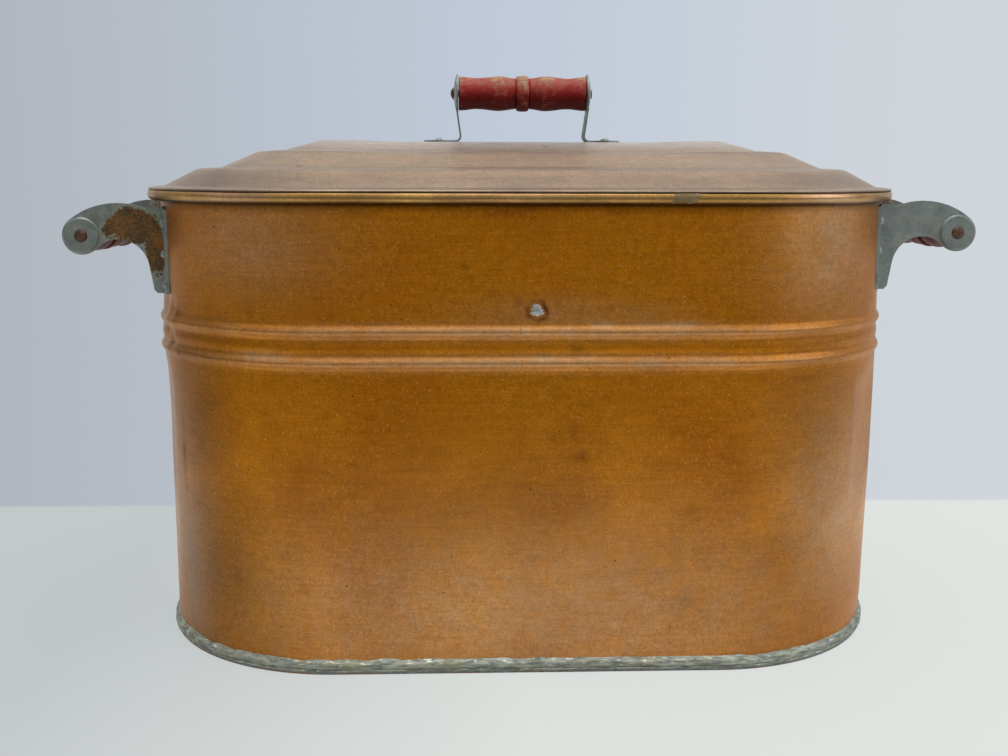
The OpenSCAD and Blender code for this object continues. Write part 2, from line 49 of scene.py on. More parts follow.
# A piece's lengths, given in mm
def inMm(**sizes):
    return {name: tuple(s * mm for s in size) if isinstance(size, tuple) else size * mm
            for name, size in sizes.items()}


# The boiler's oval: every ring is a distance from the core line between the two end centres
oval = {
    "bodyR": 143.5 * mm,
    "endX": 142.5 * mm,
    "sheet": 0.8 * mm,
    "rimTop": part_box("rim_band")[1].z,
}
lengthRound = 2 * oval["endX"] + math.pi * oval["bodyR"]     # half the way round the oval


def coreX(x):
    return max(-oval["endX"], min(oval["endX"], x))


def outward(co):
    return Vector((co.x - coreX(co.x), co.y, 0)).normalized()


# Way round the oval from the middle of the front, plus to the right, up to lengthRound at the back
def wayRound(co):
    side = 1 if co.x >= 0 else -1
    if abs(co.x) <= oval["endX"]:
        return co.x if co.y < 0 else side * (lengthRound - abs(co.x))
    turn = math.atan2(abs(co.x) - oval["endX"], -co.y)
    return side * (oval["endX"] + oval["bodyR"] * turn)


def fadeIn(value, low, high):
    t = max(0, min(1, (value - low) / (high - low)))
    return t * t * (3 - 2 * t)


def arcPoints(centre, radius, start, end, steps):
    turns = [math.radians(start + (end - start) * i / steps) for i in range(steps + 1)]
    return [(centre[0] + radius * math.cos(t), centre[1] + radius * math.sin(t)) for t in turns]


def spread(low, high, step):
    count = max(1, round((high - low) / step))
    return [low + (high - low) * i / count for i in range(count)]


def middleOf(node):
    low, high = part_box(node)
    return (low + high) / 2


# Points joined in a row, for a spin to carry
def strand(bm, points, loop=False):
    verts = [bm.verts.new(point) for point in points]
    edges = [bm.edges.new(pair) for pair in zip(verts, verts[1:])]
    if loop:
        edges.append(bm.edges.new((verts[-1], verts[0])))
    return verts + edges


# Section of (distance from the core line, height), stood at one turn of the right end
def section(bm, points, start=-90, loop=False):
    turn = math.radians(start)
    return strand(bm, [(oval["endX"] + r * math.cos(turn), r * math.sin(turn), z) for r, z in points], loop)


# Carries a section round an end or along a side
def carry(bm, ends, turn=0, run=0, steps=1, right=True):
    centre = (oval["endX"] if right else -oval["endX"], 0, 0)
    made = bmesh.ops.spin(bm, geom=ends, cent=centre, axis=(0, 0, 1), angle=math.radians(turn),
                          dvec=(run / steps, 0, 0), steps=steps)
    return made["geom_last"]


def sweepOval(bm, points, step, loop=False):
    ends = section(bm, points, loop=loop)
    turnSteps = round(math.pi * oval["bodyR"] / step)
    runSteps = round(2 * oval["endX"] / step)
    ends = carry(bm, ends, turn=180, steps=turnSteps)
    ends = carry(bm, ends, run=-2 * oval["endX"], steps=runSteps)
    ends = carry(bm, ends, turn=180, steps=turnSteps, right=False)
    carry(bm, ends, run=2 * oval["endX"], steps=runSteps)


def faceOut(bm, awayFrom):
    bmesh.ops.remove_doubles(bm, verts=bm.verts, dist=0.01 * mm)
    bmesh.ops.recalc_face_normals(bm, faces=bm.faces)
    if sum(f.normal.dot(awayFrom(f.calc_center_median())) * f.calc_area() for f in bm.faces) < 0:
        bmesh.ops.reverse_faces(bm, faces=bm.faces)


def paint(mesh, name, values):
    layer = mesh.attributes.new(name, "FLOAT", "POINT")
    layer.data.foreach_set("value", values)


def makeObject(bm, name, material):
    mesh = bpy.data.meshes.new(name)
    bm.to_mesh(mesh)
    bm.free()
    mesh.materials.append(material)
    made = bpy.data.objects.new(name, mesh)
    bpy.context.scene.collection.objects.link(made)
    return made


# Makes a piece of the boiler and gives it to its body
def addPiece(bm, name, material, body, node, sharp=35):
    for f in bm.faces:
        f.smooth = True
    piece = makeObject(bm, name, material)
    piece.data.set_sharp_from_angle(angle=math.radians(sharp))
    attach(piece, body)
    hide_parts(node)
    return piece


def thicken(piece, thickness, innerMaterial):
    wall = piece.modifiers.new("Sheet", "SOLIDIFY")
    wall.thickness = thickness
    wall.offset = -1
    wall.use_even_offset = True
    piece.data.materials.append(innerMaterial)
    wall.material_offset = 1


def hexColour(text):
    channels = [int(text[i:i + 2], 16) / 255 for i in (1, 3, 5)]
    return [c / 12.92 if c < 0.04045 else ((c + 0.055) / 1.055) ** 2.4 for c in channels] + [1]


inColour = {"out": 2, "data_type": "RGBA"}       # makes a Mix node mix colours


# Adds a node, links or sets its inputs (a text is a hex colour), and gives back one of its outputs
def addNode(tree, kind, inputs=None, out=0, **settings):
    made = tree.nodes.new("ShaderNode" + kind)
    for name, value in settings.items():
        setattr(made, name, value)
    for socket, value in (inputs or {}).items():
        if isinstance(value, bpy.types.NodeSocket):
            tree.links.new(value, made.inputs[socket])
        else:
            made.inputs[socket].default_value = hexColour(value) if isinstance(value, str) else value
    return made.outputs[out] if made.outputs else made


def startMaterial(name):
    material = bpy.data.materials.new(name)
    material.use_nodes = True
    tree = material.node_tree
    tree.nodes.clear()
    return material, tree, addNode(tree, "TexCoord", out="Object")


# Mapping scale for a pattern of this many mm, the same in all directions or given for x, y and z
def perLength(size):
    return [1 / (s * mm) for s in (size if isinstance(size, tuple) else (size,) * 3)]


# Lays patterns of a real size, each given as (mm, detail, roughness)
def layPatterns(tree, place, *patterns, turn=(0, 0, 0)):
    laid = []
    for size, detail, roughness in patterns:
        sized = addNode(tree, "Mapping", {"Vector": place, "Rotation": turn, "Scale": perLength(size)})
        laid.append(addNode(tree, "TexNoise", {"Vector": sized, "Scale": 1.0, "Detail": detail,
                                               "Roughness": roughness}))
    return laid


# Lays a colour over another where a pattern runs from one value to another
def layColour(tree, under, over, pattern, *limits):
    share = addNode(tree, "MapRange", {0: pattern, **dict(enumerate(limits, 1))})
    return addNode(tree, "Mix", {0: share, 6: under, 7: over}, **inColour)


# Closes a material: bump of a strength and a height in mm, then the skin and the output
def endSkin(tree, height, strength, relief, inputs):
    bump = addNode(tree, "Bump", {"Height": height, "Strength": strength, "Distance": relief * mm})
    skin = addNode(tree, "BsdfPrincipled", dict(inputs, Normal=bump))
    addNode(tree, "OutputMaterial", {"Surface": skin})


# Copper sheet: pattern sizes and relief in mm
bodyLook = {
    "gold": "#CC8118", "brown": "#B46C13", "pale": "#C8A884", "dark": "#5A3418", "grey": "#9C9A94",
    "cloud": 80, "patch": 16, "mottle": 5, "fleck": 1.3, "roll": (26, 26, 1.6), "speckGap": 7,
    "scuff": (0.9, 14, 14), "scuffTurns": ((0.2, 0.1, 0.5), (1.2, 0.3, 0.9)),
    "roughLow": 0.36, "roughHigh": 0.5, "coat": 0.0, "relief": 0.06,
}
lidLook = dict(bodyLook, gold="#AE937A", brown="#967D6A", pale="#B9A898", grey="#CCC8C6", coat=0.4,
               roughLow=0.38, roughHigh=0.52, speckGap=18)
rimLook = dict(bodyLook, gold="#BE9452", brown="#96703C", pale="#C9A590", cloud=50, coat=0.2,
               roughLow=0.28, roughHigh=0.42)


# Cold-rolled copper sheet, tarnished: a metal with an oxide film, so its colour drifts between gold and
# brown, its sheen is soft and broken by rolling lines, and small pits and scuffs have gone dark
def tarnishedCopper(name, look):
    material, tree, place = startMaterial(name)
    cloud, patch, fleck, mottle, rolled = layPatterns(
        tree, place, (look["cloud"], 3.0, 0.55), (look["patch"], 5.0, 0.65), (look["fleck"], 2.0, 0.5),
        (look["mottle"], 4.0, 0.7), (look["roll"], 3.0, 0.6))
    # painted on each piece: pale lays paler copper, partly tarnish and wear, partly painted highlight and
    # reflection; grey lays greyer copper, partly dust and partly painted reflection; deep is painted shade;
    # stain is real stains
    pale, grey, deep, stain = [addNode(tree, "Attribute", out="Fac", attribute_name=painted)
                               for painted in ("pale", "grey", "deep", "stain")]
    hue = addNode(tree, "Mix", {0: 0.4, 2: cloud, 3: addNode(tree, "Mix", {0: 0.5, 2: patch, 3: mottle})})
    colour = layColour(tree, look["gold"], look["brown"], hue, 0.4, 0.62)
    uneven = addNode(tree, "MapRange", {0: patch, 1: 0.3, 2: 0.7, 3: 0.6, 4: 1.3})
    wearAndSheen = addNode(tree, "Math", {0: pale, 1: uneven}, operation="MULTIPLY")
    colour = addNode(tree, "Mix", {0: wearAndSheen, 6: colour, 7: look["pale"]}, **inColour)
    colour = addNode(tree, "Mix", {0: grey, 6: colour, 7: look["grey"]}, **inColour)
    shade = addNode(tree, "Mix", {0: 0.5, 2: fleck, 3: mottle})
    shade = addNode(tree, "Mix", {0: 0.78, 2: rolled, 3: shade})
    tone = addNode(tree, "MapRange", {0: shade, 1: 0.38, 2: 0.62, 3: 0.76, 4: 1.22})
    # painted shade: deep darkens the colour
    light = addNode(tree, "Math", {0: 1.0, 1: deep}, operation="SUBTRACT")
    tone = addNode(tree, "Math", {0: tone, 1: light}, operation="MULTIPLY")
    colour = addNode(tree, "Mix", {0: 1.0, 6: colour, 7: tone}, **inColour, blend_type="MULTIPLY")
    # pale and dark specks, a few dozen to the hand's breadth
    colour = layColour(tree, colour, look["pale"], fleck, 0.66, 0.76, 0.0, 0.6)
    cells = addNode(tree, "Mapping", {"Vector": place, "Scale": perLength(look["speckGap"])})
    cell = addNode(tree, "TexVoronoi", {"Vector": cells, "Scale": 1.0}).node
    chance = addNode(tree, "SeparateColor", {0: cell.outputs["Color"]})
    size = addNode(tree, "MapRange", {0: chance, 1: 0.6, 2: 1.0, 3: 0.0, 4: 0.11})
    speck = addNode(tree, "Math", {0: size, 1: cell.outputs["Distance"]}, operation="SUBTRACT")
    grime = addNode(tree, "MapRange", {0: speck, 1: -0.01, 2: 0.03, 3: 0.0, 4: 0.75})
    # fine scuffs, drawn about twice as wide as real ones so that they show
    for turn in look["scuffTurns"]:
        line, = layPatterns(tree, place, (look["scuff"], 1.0, 0.5), turn=turn)
        mark = addNode(tree, "MapRange", {0: line, 1: 0.72, 2: 0.82, 3: 0.0, 4: 0.4})
        grime = addNode(tree, "Math", {0: grime, 1: mark}, operation="MAXIMUM")
    ragged = addNode(tree, "MapRange", {0: patch, 1: 0.35, 2: 0.6, 3: 0.3, 4: 1.4})
    stain = addNode(tree, "Math", {0: stain, 1: ragged}, operation="MULTIPLY")
    grime = addNode(tree, "Math", {0: grime, 1: stain}, operation="MAXIMUM", use_clamp=True)
    colour = addNode(tree, "Mix", {0: grime, 6: colour, 7: look["dark"]}, **inColour)
    rough = addNode(tree, "MapRange", {0: hue, 1: 0.35, 2: 0.65, 3: look["roughLow"], 4: look["roughHigh"]})
    rough = addNode(tree, "Math", {0: grime, 1: 0.2, 2: rough}, operation="MULTIPLY_ADD")
    height = addNode(tree, "Math", {0: grime, 1: -0.6, 2: shade}, operation="MULTIPLY_ADD")
    endSkin(tree, height, 0.5, look["relief"], {
        "Base Color": colour, "Metallic": 1.0, "Roughness": rough,
        "Coat Weight": look["coat"], "Coat Roughness": 0.4, "Coat IOR": 1.5,
    })
    return material


insideLook = {"clean": "#A9795C", "stained": "#7E604A", "green": "#5C6B5E", "cloud": (60, 60, 30), "spot": 9}


# The boiler's inside: scoured, water-stained copper, matter and greyer than the outside
def scouredCopper(name, look):
    material, tree, place = startMaterial(name)
    cloud, spots = layPatterns(tree, place, (look["cloud"], 4.0, 0.6), (look["spot"], 3.0, 0.6))
    colour = layColour(tree, look["clean"], look["stained"], cloud, 0.35, 0.65)
    colour = layColour(tree, colour, look["green"], spots, 0.6, 0.75, 0.0, 0.5)
    rough = addNode(tree, "MapRange", {0: cloud, 1: 0.3, 2: 0.7, 3: 0.45, 4: 0.65})
    endSkin(tree, spots, 0.3, 0.08, {"Base Color": colour, "Metallic": 0.85, "Roughness": rough})
    return material


zincLook = {
    "light": "#8F9692", "dull": "#717976", "white": "#B9BEBB", "salts": "#9AA08C", "rustDark": "#3A2B12",
    "rustLight": "#7E541C", "cloud": 14, "pit": 1.6, "metal": 0.75, "rustMetal": 0.05,
}


# Hot-dip galvanised steel left outdoors: dull zinc patina with pits and white specks, and mottled brown
# rust in and round the places where the zinc has gone, with a pale green edge of salts
def weatheredZinc(name, rustAt=()):
    look = zincLook
    material, tree, place = startMaterial(name)
    cloud, pits = layPatterns(tree, place, (look["cloud"], 4.0, 0.6), (look["pit"], 3.0, 0.6))
    colour = layColour(tree, look["light"], look["dull"], cloud, 0.35, 0.65)
    colour = layColour(tree, colour, look["white"], pits, 0.57, 0.75, 0.0, 0.5)
    rough = addNode(tree, "MapRange", {0: cloud, 1: 0.3, 2: 0.7, 3: 0.42, 4: 0.6})
    metal = look["metal"]
    if rustAt:
        near = 9.0       # further off than any patch reaches
        for patch in rustAt:
            away = addNode(tree, "VectorMath", {0: place, 1: patch["centre"]}, operation="SUBTRACT")
            away = addNode(tree, "Mapping", {"Vector": away, "Scale": perLength(patch["reach"])})
            reach = addNode(tree, "VectorMath", {0: away}, out="Value", operation="LENGTH")
            near = addNode(tree, "Math", {0: near, 1: reach}, operation="MINIMUM")
        edge = addNode(tree, "Math", {0: cloud, 1: 1.5, 2: near}, operation="MULTIPLY_ADD")
        edge = addNode(tree, "Math", {0: pits, 1: 0.7, 2: edge}, operation="MULTIPLY_ADD")
        colour = layColour(tree, colour, look["salts"], edge, 2.35, 2.15, 0.0, 0.45)
        rust = addNode(tree, "MapRange", {0: edge, 1: 2.12, 2: 1.95})
        mottle = addNode(tree, "Mix", {0: 0.5, 2: cloud, 3: pits})
        brown = layColour(tree, look["rustDark"], look["rustLight"], mottle, 0.42, 0.62)
        colour = addNode(tree, "Mix", {0: rust, 6: colour, 7: brown}, **inColour)
        rough = addNode(tree, "Math", {0: rust, 1: 0.25, 2: rough}, operation="MULTIPLY_ADD")
        metal = addNode(tree, "MapRange", {0: rust, 3: look["metal"], 4: look["rustMetal"]})
    endSkin(tree, pits, 0.6, 0.18, {"Base Color": colour, "Metallic": metal, "Roughness": rough})
    return material


solderLook = {
    "light": "#C2C5C5", "dark": "#8C8F8D", "bright": "#DDE0E0", "salts": "#8A8578", "saltShare": 0.2,
    "lump": (12, 12, 2.4), "fleck": (7, 7, 1.6), "cloud": 18,
}
rimSolderLook = dict(solderLook, light="#8E7A58", dark="#776443", bright="#9C8F74", salts="#7C663F",
                     saltShare=0.5)
seamSolderLook = dict(solderLook, light="#B0B6AA", dark="#6E756F", bright="#DADED6", salts="#8C8768",
                      saltShare=0.5)


# Tin and lead solder wiped on by hand: soft metal in lumps, with bright flecks and dull salts
def wipedSolder(name, look):
    material, tree, place = startMaterial(name)
    lump, fleck, cloud = layPatterns(
        tree, place, (look["lump"], 4.0, 0.65), (look["fleck"], 5.0, 0.7), (look["cloud"], 3.0, 0.5))
    colour = layColour(tree, look["light"], look["dark"], lump, 0.35, 0.62)
    colour = layColour(tree, colour, look["salts"], cloud, 0.48, 0.66, 0.0, look["saltShare"])
    colour = layColour(tree, colour, look["bright"], fleck, 0.57, 0.66, 0.0, 0.85)
    height = addNode(tree, "Math", {0: fleck, 1: 0.4, 2: lump}, operation="MULTIPLY_ADD")
    rough = addNode(tree, "MapRange", {0: fleck, 1: 0.4, 2: 0.7, 3: 0.58, 4: 0.36})
    endSkin(tree, height, 0.8, 0.5, {"Base Color": colour, "Metallic": 0.7, "Roughness": rough})
    return material


steelLook = {"dark": "#3E3029", "brown": "#6A4832", "rubbed": "#85796C", "cloud": 5, "pit": 1}


# Mild steel with a skin of brown rust, polished a little on what stands proud
def rustedSteel(name, look):
    material, tree, place = startMaterial(name)
    cloud, pits = layPatterns(tree, place, (look["cloud"], 4.0, 0.6), (look["pit"], 2.0, 0.5))
    colour = layColour(tree, look["dark"], look["brown"], cloud, 0.35, 0.65)
    colour = layColour(tree, colour, look["rubbed"], pits, 0.55, 0.7, 0.0, 0.4)
    rough = addNode(tree, "MapRange", {0: cloud, 1: 0.3, 2: 0.7, 3: 0.4, 4: 0.62})
    endSkin(tree, pits, 0.5, 0.12, {"Base Color": colour, "Metallic": 0.6, "Roughness": rough})
    return material


gripLook = {
    "paint": "#96140E", "deep": "#520302", "bare": "#AC866A", "wearAndSheen": "#94493A", "wood": "#7C5438",
    "grainLength": 30, "grainWidth": 0.9, "wear": 5, "proudR": 13.1 * mm,
}


# Oil paint on turned beech: glossy dark red, darker below as painted shade, and lighter on top, where it is
# rubbed through to bare wood and painted lighter as highlight
def wornRedPaint(name, centre, along):
    look = gripLook
    material, tree, place = startMaterial(name)
    here = addNode(tree, "VectorMath", {0: place, 1: centre}, operation="SUBTRACT")
    across = addNode(tree, "VectorMath", {0: here, 1: [1 - a for a in along]}, operation="MULTIPLY")
    radius = addNode(tree, "VectorMath", {0: across}, out="Value", operation="LENGTH")
    grain = tuple(look["grainLength"] if a else look["grainWidth"] for a in along)
    fibre, wear = layPatterns(tree, here, (grain, 3.0, 0.6), (look["wear"], 5.0, 0.7))
    height = addNode(tree, "SeparateXYZ", {0: here}, out="Z")
    proud = addNode(tree, "MapRange", {0: radius, 1: look["proudR"] - 1 * mm, 2: look["proudR"] + 0.8 * mm})
    # painted light: the top is lightened towards the rubbed colour, and the underside darkened towards the
    # deep red, as the light falls from above
    upper = addNode(tree, "MapRange", {0: height, 1: -4 * mm, 2: 13 * mm})
    shadeBelow = addNode(tree, "MapRange", {0: height, 1: 3 * mm, 2: -9 * mm})
    rubbed = addNode(tree, "Math", {0: proud, 1: 0.22, 2: wear}, operation="MULTIPLY_ADD")
    rubbed = addNode(tree, "Math", {0: upper, 1: 0.4, 2: rubbed}, operation="MULTIPLY_ADD")
    rubbed = addNode(tree, "Math", {0: fibre, 1: 0.35, 2: rubbed}, operation="MULTIPLY_ADD")
    darkPaintAndShade = addNode(tree, "MapRange", {0: wear, 1: 0.35, 2: 0.65, 3: 0.0, 4: 0.5})
    darkPaintAndShade = addNode(tree, "Math", {0: shadeBelow, 1: darkPaintAndShade}, operation="ADD", use_clamp=True)
    colour = addNode(tree, "Mix", {0: darkPaintAndShade, 6: look["paint"], 7: look["deep"]}, **inColour)
    colour = layColour(tree, colour, look["wearAndSheen"], rubbed, 0.84, 1.08)
    wood = layColour(tree, look["bare"], look["wood"], fibre, 0.35, 0.65)
    bare = addNode(tree, "MapRange", {0: rubbed, 1: 1.08, 2: 1.16})
    colour = addNode(tree, "Mix", {0: bare, 6: colour, 7: wood}, **inColour)
    relief = addNode(tree, "Math", {0: bare, 1: -0.5, 2: wear}, operation="MULTIPLY_ADD")
    rough = addNode(tree, "MapRange", {0: bare, 3: 0.5, 4: 0.72})
    endSkin(tree, relief, 0.6, 0.4, {"Base Color": colour, "Roughness": rough, "IOR": 1.5,
                                     "Specular IOR Level": 0.25})
    return material


bodyCopper = tarnishedCopper("Tarnished rolled copper", bodyLook)
lidCopper = tarnishedCopper("Dusty lid copper", lidLook)
rimCopper = tarnishedCopper("Worn rim copper", rimLook)
insideCopper = scouredCopper("Scoured inside copper", insideLook)
zinc = weatheredZinc("Weathered zinc")
solder = wipedSolder("Wiped solder", solderLook)
rimSolder = wipedSolder("Browned solder", rimSolderLook)
seamSolder = wipedSolder("Wiped seam solder", seamSolderLook)
steel = rustedSteel("Rusted steel", steelLook)
print("finishes made")

wallPlan = inMm(
    low=1.6, high=347.4, row=4, fineRow=1.0, column=4, fineColumn=3, mendFine=(16, 14),
    ridges=(231.8, 254.1), ridgeWidth=11.5, ridgeOut=2.2, channel=242.95, channelWidth=10.8, channelOut=0.5,
    seamHalf=4.5, seamOut=2.4, seamLow=10.8, seamHigh=340.8, foldWidth=0.7,
    waveSize=85, wave=0.35, rippleSize=24, ripple=0.07,
    # the seam and the rim hold the sheet, and it is slack between them
    slackFrom=(11, 28), slackTo=(322, 340),
)
# Each dent: way round and height in mm, half length, half width, turn of its length from upright, depth out
dents = [
    (322, 168, 150, 46, 0, 2.2),       # right end swells
    (-316, 242, 32, 56, 0, 2.2),       # left end swells above the ridges
    (-310, 268, 13, 15, 20, -3.0),     # crumple under the left bracket
    (-296, 256, 10, 7, -25, 2.2),
    (-303, 246, 9, 6, 40, -2.6),
    (-291, 241, 8, 5, 0, -2.0),
    (-283, 255, 7, 5, 30, 1.4),
    (-288, 264, 6, 4, 60, -1.2),
    (-318, 118, 60, 12, 4, -1.2),      # long shallow groove low on the left
    (-239, 225, 22, 9, 80, 0.9),       # flattened ridge at the left
    (72, 248, 30, 8, 88, 0.4),         # hammered-out ridge right of the middle
    (187, 140, 22, 12, 70, 0.5),
    (231, 122, 40, 6, 50, -0.6),
    (-60, 150, 60, 50, 0, -0.7),       # slack middle of the front
    (60, 90, 50, 60, 0, -0.6),
    (180, 296, 40, 40, 0, 0.5),
    (-170, 306, 40, 30, 0, -0.4),
    (460, 200, 60, 50, 0, -1.6),       # back
    (-480, 120, 50, 60, 0, -1.4),
    (570, 300, 30, 40, 20, 1.0),
]
# Flat facets, where the round wall has been pushed to a chord: way round from and to, heights from and to,
# depth, and how far they fade in above the bottom and out below the top
facets = [
    (262, 314, 98, 222, -3.0, 45, 22),
    (-345, -300, 140, 230, -1.2, 45, 22),
]


def bumpAt(z, centre, width, height):
    t = abs(z - centre) / width
    return height * (1 + math.cos(2 * math.pi * t)) / 2 if t < 0.5 else 0


def swellAt(z):
    plan = wallPlan
    return (sum(bumpAt(z, c, plan["ridgeWidth"], plan["ridgeOut"]) for c in plan["ridges"])
            + bumpAt(z, plan["channel"], plan["channelWidth"], plan["channelOut"]))


def dentAt(way, z):
    way, z = way / mm, z / mm
    total = 0
    for place, height, halfLength, halfWidth, turn, depth in dents:
        c, s = math.cos(math.radians(turn)), math.sin(math.radians(turn))
        dx, dz = way - place, z - height
        along, aside = (dz * c + dx * s) / halfLength, (dx * c - dz * s) / halfWidth
        reach = along * along + aside * aside
        if reach < 6:
            total += depth * math.exp(-reach)
    for low, high, bottom, top, depth, above, below in facets:
        t = (way - low) / (high - low)
        if 0 < t < 1:
            upright = fadeIn(z, bottom, bottom + above) * (1 - fadeIn(z, top - below, top))
            total += depth * 4 * t * (1 - t) * upright
    return total * mm


def shapeWall(bm, folded):
    plan = wallPlan
    for vert in bm.verts:
        co = vert.co.copy()
        way, z = wayRound(co), co.z
        slack = fadeIn(z, *plan["slackFrom"]) * (1 - fadeIn(z, *plan["slackTo"]))
        out = dentAt(way, z) * slack
        out += noise.noise(co / plan["waveSize"]) * plan["wave"] * slack
        out += noise.noise(co / plan["rippleSize"]) * plan["ripple"] * slack
        if folded and plan["seamLow"] < z < plan["seamHigh"]:
            half, fromSeam = plan["seamHalf"], abs(lengthRound / 2 - abs(way))
            out += plan["seamOut"] * (1 - fadeIn(fromSeam, half - plan["foldWidth"], half))
        vert.co += outward(co) * (out + swellAt(z))


def wallHeights():
    plan = wallPlan
    first = plan["ridges"][0] - plan["ridgeWidth"] / 2
    last = plan["ridges"][1] + plan["ridgeWidth"] / 2
    return (spread(plan["low"], plan["seamLow"], plan["row"]) + spread(plan["seamLow"], first, plan["row"])
            + spread(first, last, plan["fineRow"]) + spread(last, plan["seamHigh"], plan["row"])
            + spread(plan["seamHigh"], plan["high"], plan["fineRow"]) + [plan["high"]])


# Soft spots painted on the sheet: way round and height in mm, half width, half height, amount
wallSpots = {
    # pale: paler patches of tarnish, with painted highlights along the ridge crests and painted reflection
    # low down and at the right end
    "pale": [
        (0, 40, 260, 80, 0.5), (620, 40, 300, 80, 0.4), (-620, 40, 300, 80, 0.4), (245, 110, 60, 90, 0.6),
        (225, 318, 50, 56, 0.55), (-205, 318, 60, 36, 0.4), (-270, 70, 40, 90, 0.5), (16, 266, 60, 12, 0.25),
        (72, 266, 34, 9, 0.2), (0, 254, 260, 5, 0.6), (0, 232, 260, 5, 0.6), (50, 258, 14, 5, 0.6),
        (96, 258, 34, 4, 0.6), (20, 234, 60, 4, 0.7), (-190, 235, 24, 4, 0.8),
    ],
    "stain": [
        (37, 163, 5, 3.5, 0.6), (32, 181, 5, 5, 0.4), (18, 176, 4, 5, 0.35), (37, 202, 3, 2.5, 0.5),
        (39, 200, 6, 2, 0.35), (32, 242, 5, 4, 0.5), (30, 237, 2.5, 2, 0.6), (-25, 337, 22, 2, 0.4),
        (-61, 248, 4, 3, 0.35), (118, 120, 7, 6, 0.35), (103, 86, 20, 26, 0.14), (118, 54, 18, 14, 0.14),
        (187, 82, 22, 18, 0.12), (-164, 64, 3, 3, 0.45), (-218, 67, 3, 4, 0.45), (-200, 266, 2, 9, 0.35),
        (-280, 261, 5, 3, 0.6), (-273, 231, 14, 2.5, 0.4), (163, 220, 22, 2, 0.25), (207, 218, 16, 2, 0.35),
        (-46, 300, 3, 2, 0.55), (-42, 293, 3, 2, 0.5), (-25, 283, 2.5, 2, 0.5), (-8, 275, 3, 2, 0.5),
        (50, 273.5, 36, 1, 0.3), (-281, 155, 3, 26, 0.4), (61, 338, 14, 2, 0.4), (-122, 336, 16, 2, 0.35),
    ],
    # deep: painted shade, under the rim, below the ridge crests, at the ends and over wide soft patches
    "deep": [
        (-252, 196, 50, 86, 0.56), (-240, 70, 62, 110, 0.56), (218, 190, 50, 110, 0.4),
        (200, 80, 70, 160, 0.26), (215, 310, 30, 40, 0.22), (-40, 150, 200, 90, 0.2),
        (-100, 60, 60, 60, 0.12), (130, 65, 60, 60, 0.12), (-196, 160, 30, 90, 0.2),
        (620, 200, 300, 120, 0.16), (-620, 200, 300, 120, 0.16), (0, 256, 300, 3, 0.16),
        (0, 234, 300, 3, 0.14), (0, 344, 900, 3.6, 0.95), (0, 251, 400, 1.8, 0.25),
        (0, 228.6, 400, 1.8, 0.25),
    ],
    # grey: painted reflection of the pale surroundings at the ends
    "grey": [(-330, 150, 44, 200, 0.5), (330, 150, 34, 200, 0.3), (-280, 60, 16, 70, 0.35)],
}
mendPlan = dict(
    inMm(radius=4.3, proud=1.2, sunk=0.1, lump=0.8, lumpSize=2.0, crown=0.35, stainR=6.6, stainWidth=2.0,
         stainJag=1.6),
    steps=48, ragged=0.55, jagSize=2.6, stain=0.7)


def spotAt(way, z, spots):
    total = 0
    for place, height, halfWidth, halfHeight, amount in spots:
        reach = ((way / mm - place) / halfWidth) ** 2 + ((z / mm - height) / halfHeight) ** 2
        if reach < 8:
            total = max(total, amount * math.exp(-reach))
    return total


# Brown ring in the copper round the mend
def ringAt(co, centre):
    plan, away = mendPlan, co - centre
    jag = noise.noise(away.normalized() * 3) * plan["stainJag"]
    return plan["stain"] * math.exp(-((away.length - plan["stainR"] - jag) / plan["stainWidth"]) ** 2)


def paintSpots(piece, spots):
    places = [(wayRound(v.co), v.co.z) for v in piece.data.vertices]
    for name, shapes in spots.items():
        paint(piece.data, name, [spotAt(way, z, shapes) for way, z in places])


# The front sheet also makes the outer layer of the lock seam at each end
def buildFrontSheet():
    plan = wallPlan
    seamTurn = math.degrees(plan["seamHalf"] / oval["bodyR"])
    foldTurn = math.degrees(plan["foldWidth"] / oval["bodyR"])
    endSteps = round(math.pi / 2 * oval["bodyR"] / plan["fineColumn"])
    folds = ((foldTurn * 1.5, 3), (seamTurn * 2 - foldTurn * 2, 5), (foldTurn * 1.5, 3))
    rest = 90 - seamTurn - foldTurn / 2
    bm = bmesh.new()
    ends = section(bm, [(oval["bodyR"], z) for z in wallHeights()], start=seamTurn + foldTurn / 2)
    for turn, steps in folds:
        ends = carry(bm, ends, turn=-turn, steps=steps)
    ends = carry(bm, ends, turn=-rest, steps=endSteps)
    ends = carry(bm, ends, run=-2 * oval["endX"], steps=round(2 * oval["endX"] / plan["column"]))
    ends = carry(bm, ends, turn=-rest, steps=endSteps, right=False)
    for turn, steps in folds:
        ends = carry(bm, ends, turn=-turn, steps=steps, right=False)
    faceOut(bm, outward)
    # finer mesh round the mend, so that its stain shows
    mend = middleOf("hole_mend")
    mend.y = -oval["bodyR"]
    for reach in plan["mendFine"]:
        close = [e for e in bm.edges if all((v.co - mend).length < reach for v in e.verts)]
        bmesh.ops.subdivide_edges(bm, edges=close, cuts=1, use_grid_fill=True)
    shapeWall(bm, True)
    piece = addPiece(bm, "frontSheet", bodyCopper, "boiler", "front_sheet")
    paintSpots(piece, wallSpots)
    stain = piece.data.attributes["stain"].data
    for vert, value in zip(piece.data.vertices, stain):
        value.value = max(value.value, ringAt(vert.co, mend))
    thicken(piece, oval["sheet"], insideCopper)


def buildBackSheet():
    plan = wallPlan
    endSteps = round(math.pi / 2 * oval["bodyR"] / plan["column"])
    bm = bmesh.new()
    ends = section(bm, [(oval["bodyR"], z) for z in wallHeights()], start=0)
    ends = carry(bm, ends, turn=90, steps=endSteps)
    ends = carry(bm, ends, run=-2 * oval["endX"], steps=round(2 * oval["endX"] / plan["column"]))
    carry(bm, ends, turn=90, steps=endSteps, right=False)
    faceOut(bm, outward)
    shapeWall(bm, False)
    piece = addPiece(bm, "backSheet", bodyCopper, "boiler", "back_sheet")
    paintSpots(piece, wallSpots)
    thicken(piece, oval["sheet"], insideCopper)


buildFrontSheet()
buildBackSheet()
print("body sheets made")

